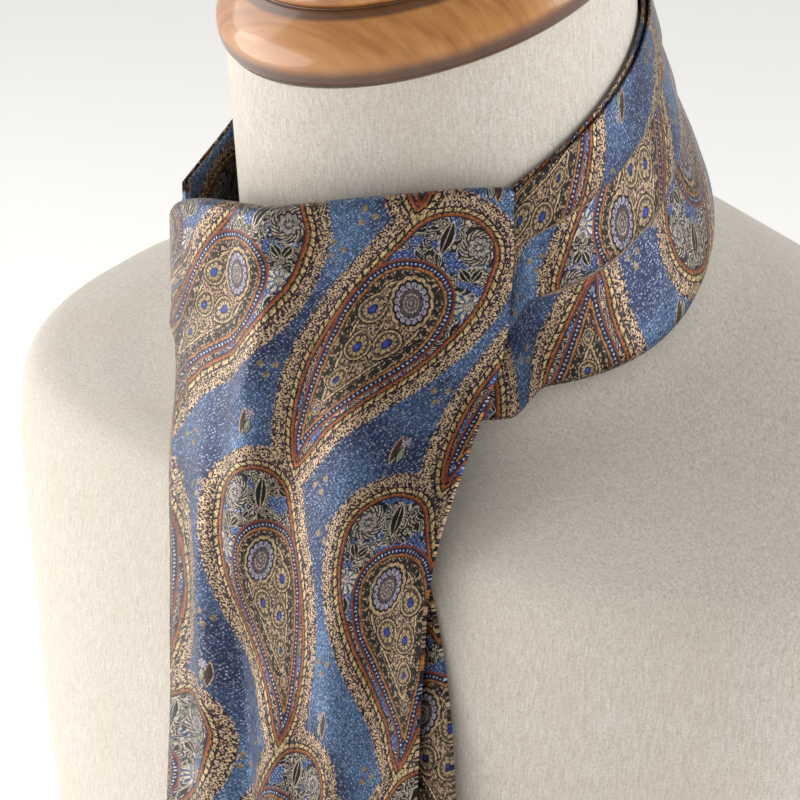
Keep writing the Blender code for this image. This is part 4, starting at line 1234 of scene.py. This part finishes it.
def silk_lobe(g, inward, rim, thread, place):
    """The lobe, from its edge inwards: a red line, beads, a gold line, tan with dark blobs, and lace."""
    inmost = inward > LOBE_INNER
    bead = g.size(g.beside(rim, BEAD_PERIOD), inward - BEAD_AT)
    lace = g.wave(g.noise(place, LACE_CURLS, 1.0), LACE_PERIOD) > LACE_LINE
    tan = g.near(inward, LOBE_TAN, LOBE_TAN_HALF) + inmost
    wander = g.wave(rim, BLOB_PERIOD * 2) * BLOB_WANDER
    blob = g.size(g.beside(rim, BLOB_PERIOD) * BLOB_SQUEEZE, inward - (wander + BLOB_AT))
    return g.paint(
        g.bands(inward, LOBE_BANDS),
        (bead < BEAD_RADIUS, BEAD),
        (inmost * lace, TAN_LIGHT),
        (tan * (thread > LOBE_LIGHT[0]) * LOBE_LIGHT[1], TAN_LIGHT),
        (tan * (thread < LOBE_DARK[0]) * LOBE_DARK[1], TAN_DARK),
        (blob < BLOB_RADIUS, BLOB),
    )


# Each small motif gives a value that grows outwards, and its colour. It draws by a place's side and
# along, measured from its middle, how far away and at what angle that is, and away in radii (share).
def medallion(g, at):
    across, along = at.side / MEDALLION_HALF[0], at.along / MEDALLION_HALF[1]
    oval = g.size(across, along)
    petal = abs(g.sine(g.math("ARCTAN2", along, across) * (MEDALLION_PETALS / 2)))
    gap = (petal < PETAL_GAP) * (oval > PETALS_FROM) * (oval < PETALS_TO)
    flower = g.bands(oval + (1.0 - petal) * PETAL_DEPTH, MEDALLION_BANDS)
    return oval, g.paint(flower, (gap, BLACK))


def rosette(g, at):
    lobes = g.sine(at.angle * ROSETTE_LOBES)
    veins = g.sine((at.angle + at.share * VEIN_TWIST) * VEINS) > VEIN_LINE
    from_crescent = abs(g.beside(at.angle - CRESCENT, 2 * math.pi))
    pearl = g.size(g.beside(at.angle, PEARL_EVERY) * at.radius, (at.share - PEARL_AT) * at.radius)
    return at.share, g.paint(
        g.bands(at.share + lobes * ROSETTE_DEPTH, ROSETTE_BANDS),
        (veins * (at.share > VEINS_FROM) * (at.share < VEINS_TO), FIELD_DEEP),
        ((at.share > CRESCENT_FROM) * (from_crescent > CRESCENT_HALF), FIELD_DEEP),
        ((pearl < PEARL_RADIUS) * (from_crescent < PEARLS_HALF), BEAD),
    )


def daisy(g, at):
    petals = g.sine(at.angle * DAISY_PETALS)
    flower = g.bands(at.share + petals * DAISY_DEPTH, DAISY_BANDS)
    gap = (petals > DAISY_GAP) * (at.share > DAISY_FROM)
    return at.share, g.paint(flower, (gap, FIELD_BLUE))


def leaf_pair(g, at):
    angle = abs(at.angle) - LEAF_ANGLE
    long = at.away * g.math("COSINE", angle) / LEAF_LONG - 1.0
    wide = abs(at.away * g.sine(angle))
    pair = long * long + wide * LEAF_SLIM
    return pair, g.paint(BLACK, (pair > LEAF_RIM, FIELD_LINE), (wide < LEAF_VEIN, FIELD_LINE))


def long_leaf(g, at):
    blade = (at.along / at.radius) ** 2.0 + abs(at.side) / LONG_LEAF_WIDE
    vein = (at.side < 0.0) * (at.side > LONG_LEAF_VEIN)
    return blade, g.paint(BLACK, (blade > LONG_LEAF_RIM, FIELD_LINE), (vein, FIELD_LINE))


def teardrop_eye(g, at):
    """A teardrop: round at one end, and drawn out along its own length at the other."""
    ahead = g.math("MAXIMUM", g.sine(at.angle), 0.0)
    drop = at.share / ((ahead**EYE_SHARPNESS * EYE_POINT + 1.0) * EYE_ROUND)
    petal = abs(g.sine(at.angle * (EYE_PETALS / 2)))
    scalloped = drop + g.near(drop, *EYE_SCALLOPED) * (1.0 - petal) * EYE_SCALLOP
    rays = (petal < EYE_RAY) * g.near(drop, *EYE_RAYS)
    return drop, g.paint(g.bands(scalloped, EYE_BANDS), (rays * EYE_RAY_SHARE, TAN_DARK))


def three_spots(g, at):
    third = g.beside(at.angle, 2 * math.pi / 3)
    return g.size(at.away * g.math("COSINE", third) - SPOT_OFF, at.away * g.sine(third)), SPOT


def bud(g, at):
    """A brown bud and a smaller grey one, with a bloom over the grey one."""
    right, above = at.side + GREY_SIDE, at.along + BLOOM_UP
    brown = (at.along / BROWN_HALF) ** 2.0 + abs(at.side + BROWN_SIDE) * BUD_SLIM
    grey = ((at.along + GREY_DOWN) / GREY_HALF) ** 2.0 + abs(right) * BUD_SLIM
    bloom = g.size(right, above)
    petals = g.sine(g.math("ARCTAN2", above, right) * BLOOM_PETALS) > 0.0
    colour = g.paint(
        TAN_LIGHT,
        (brown < BUD_RIM, BUD_BROWN),
        (grey < 1.0, BLACK),
        (grey < BUD_RIM, BUD_GREY),
        (bloom < BLOOM_RADIUS, g.mix(petals, BUD_VIOLET, FIELD_LINE)),
    )
    return g.math("MINIMUM", g.math("MINIMUM", brown, grey), bloom / BLOOM_RADIUS), colour


# How each kind is drawn, in the kinds' order, with what it lies in and its value at its edge.
MOTIFS = (
    (medallion, "lobe", 1.18),
    (rosette, "field", 1.0),
    (daisy, "field", 0.98),
    (leaf_pair, "field", 1.0),
    (long_leaf, "field", 1.0),
    (teardrop_eye, "lobe", 1.0),
    (three_spots, "ground", 0.95),
    (bud, "ground", 1.0),
)


def silk_material():
    g = Graph("silk_paisley", Metallic=0.45, Roughness=0.36, Specular_IOR_Level=0.4, Sheen_Weight=0.03)
    (outer, rim, lobe), _ = g.attribute("bands")
    (lobe_rim, side, along), _ = g.attribute("marks")
    (kind, away, radius), _ = g.attribute("kinds")
    (x, y, _), place = g.attribute("cloth")

    # The threads: a random share for each crossing, and a wobble that frays every edge a little.
    thread, _, _ = g.cell(g.scaled(place, (1 / THREAD_ACROSS, 1 / THREAD_DOWN, 1.0)))
    fray = (thread - 0.5) * FRAY
    scallop = g.wave(rim, SCALLOP_PERIOD) * g.fade(outer, SCALLOP_FADE, 0.0, 0.0, BORDER_SCALLOP)
    inward = fray + scallop - outer
    lobe_inward = fray - lobe
    fleck, stray, within = g.cell(g.scaled(place, (1 / FLECK_WIDE, 1 / FLECK_LONG, 1.0), FLECK_TURN))
    middle = [stray[i] * FLECK_STRAY[i] + FLECK_FROM[i] for i in (0, 1)]
    dash = g.near(within[0], middle[0], FLECK_HALF_WIDE) * g.near(within[1], middle[1], FLECK_HALF_LONG)

    in_field, in_lobe = inward > BORDER[-1][0], lobe_inward > 0.0
    cloth = g.paint(
        silk_ground(g, place, dash, fleck),
        (inward > 0.0, silk_border(g, inward, rim, thread)),
        (in_field, silk_field(g, place, dash)),
        (in_lobe, silk_lobe(g, lobe_inward, lobe_rim, thread, place)),
    )
    at = SimpleNamespace(side=side, along=along, away=away, radius=radius)
    at.share, at.angle = away / radius, g.math("ARCTAN2", along, side)
    # Where the threads of a motif may lie, by what it lies in.
    home = {
        "lobe": lobe_inward > LOBE_TAN - LOBE_TAN_HALF,
        "field": in_field * (1.0 - in_lobe),
        "ground": inward < GROUND_MARGIN,
    }
    for number, (draw, lies_in, edge) in enumerate(MOTIFS):
        value, colour = draw(g, at)
        mine = g.math("COMPARE", kind, float(number), KIND_MARGIN) * (value + fray * MOTIF_FRAY < edge)
        cloth = g.mix(mine * (at.share < MOTIF_REACHES) * home[lies_in], cloth, colour)

    # Every thread takes the light a little differently.
    twill = g.wave(x + y, TWILL)
    lit = thread * LIT_BY_THREAD + LIT_LEAST + twill * LIT_BY_TWILL
    relief = thread * THREAD_RELIEF + twill * TWILL_RELIEF + g.fade(inward, *BORDER_RELIEF)
    return g.finish(g.vector("SCALE", cloth, lit), relief, SILK_BUMP, SILK_RELIEF)


# --- the scene ------------------------------------------------------------------------------------
def aim(item, target, back, distance):
    """Stands a light or the camera at a distance from a target, looking at it."""
    item.location = Vector(target) + Vector(back) * distance
    item.rotation_mode = "QUATERNION"
    item.rotation_quaternion = (-Vector(back)).to_track_quat("-Z", "Y")


def back_from(azimuth, elevation):
    a, e = math.radians(azimuth), math.radians(elevation)
    return (math.sin(a) * math.cos(e), -math.cos(a) * math.cos(e), math.sin(e))


def make_camera():
    data = bpy.data.cameras.new("camera")
    data.sensor_width = SENSOR
    data.lens = SENSOR * FOCAL_PIXELS / IMAGE_WIDTH
    camera = bpy.data.objects.new("camera", data)
    bpy.context.scene.collection.objects.link(camera)
    aim(camera, CAMERA_TARGET, back_from(CAMERA_AZIMUTH, CAMERA_ELEVATION), CAMERA_DISTANCE)
    data.clip_start = NEAREST_SEEN
    bpy.context.scene.camera = camera


def make_light(name, azimuth, elevation, distance, width, height, power, colour):
    data = bpy.data.lights.new(name, "AREA")
    data.shape = "ELLIPSE"
    data.size, data.size_y = width, height
    data.energy, data.color = power, colour
    light = bpy.data.objects.new(name, data)
    bpy.context.scene.collection.objects.link(light)
    aim(light, LIGHT_TARGET, back_from(azimuth, elevation), distance)


def make_stage():
    bend = np.linspace(0.0, math.pi / 2, STAGE_RINGS)
    inner = STAGE_RADIUS - STAGE_CURVE
    out = np.array([STAGE_FLAT, *(inner + STAGE_CURVE * np.sin(bend)), STAGE_RADIUS])[:, None]
    up = np.array([0.0, *(STAGE_CURVE * (1.0 - np.cos(bend))), STAGE_WALL])[:, None] + STAGE_HEIGHT
    turns = np.linspace(0.0, 2 * math.pi, STAGE_SIDES, endpoint=False)
    rings = np.stack(np.broadcast_arrays(out * np.cos(turns), out * np.sin(turns), up), axis=-1)
    finish = stage_material()
    solid("stage", rings.reshape(-1, 3), tube_faces(len(rings), STAGE_SIDES, top=False), finish)
    world = bpy.data.worlds.new("pale_room")
    world.use_nodes = True
    room = world.node_tree.nodes["Background"].inputs
    room["Color"].default_value = srgb(ROOM_COLOUR)
    room["Strength"].default_value = ROOM_STRENGTH
    bpy.context.scene.world = world
    bpy.context.scene.view_settings.view_transform = "Standard"


def main():
    linen, wood, silk = linen_material(), wood_material(), silk_material()
    form_piece = make_form(linen)
    cap = make_cap(wood)
    form = tree_of(form_piece)
    band = make_neckband(form, silk)
    under_blade = make_under_blade(form, silk)
    under = tree_of(under_blade)
    wrap = make_throat_wrap(form, under, silk)
    front_blade = make_front_blade(form, (under, tree_of(wrap), tree_of(band)), silk)
    for piece, node, slot in (
        (form_piece, "dress_form", "form_linen"),
        (cap, "neck_cap", "cap_wood"),
        (band, "neckband", "silk_jacquard"),
        (wrap, "throat_wrap", "silk_jacquard"),
        (under_blade, "under_blade", "silk_jacquard"),
        (front_blade, "front_blade", "silk_jacquard"),
    ):
        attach(piece, "root")
        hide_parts(node)
    make_stage()
    for light in LIGHTS:
        make_light(*light)
    make_camera()


main()
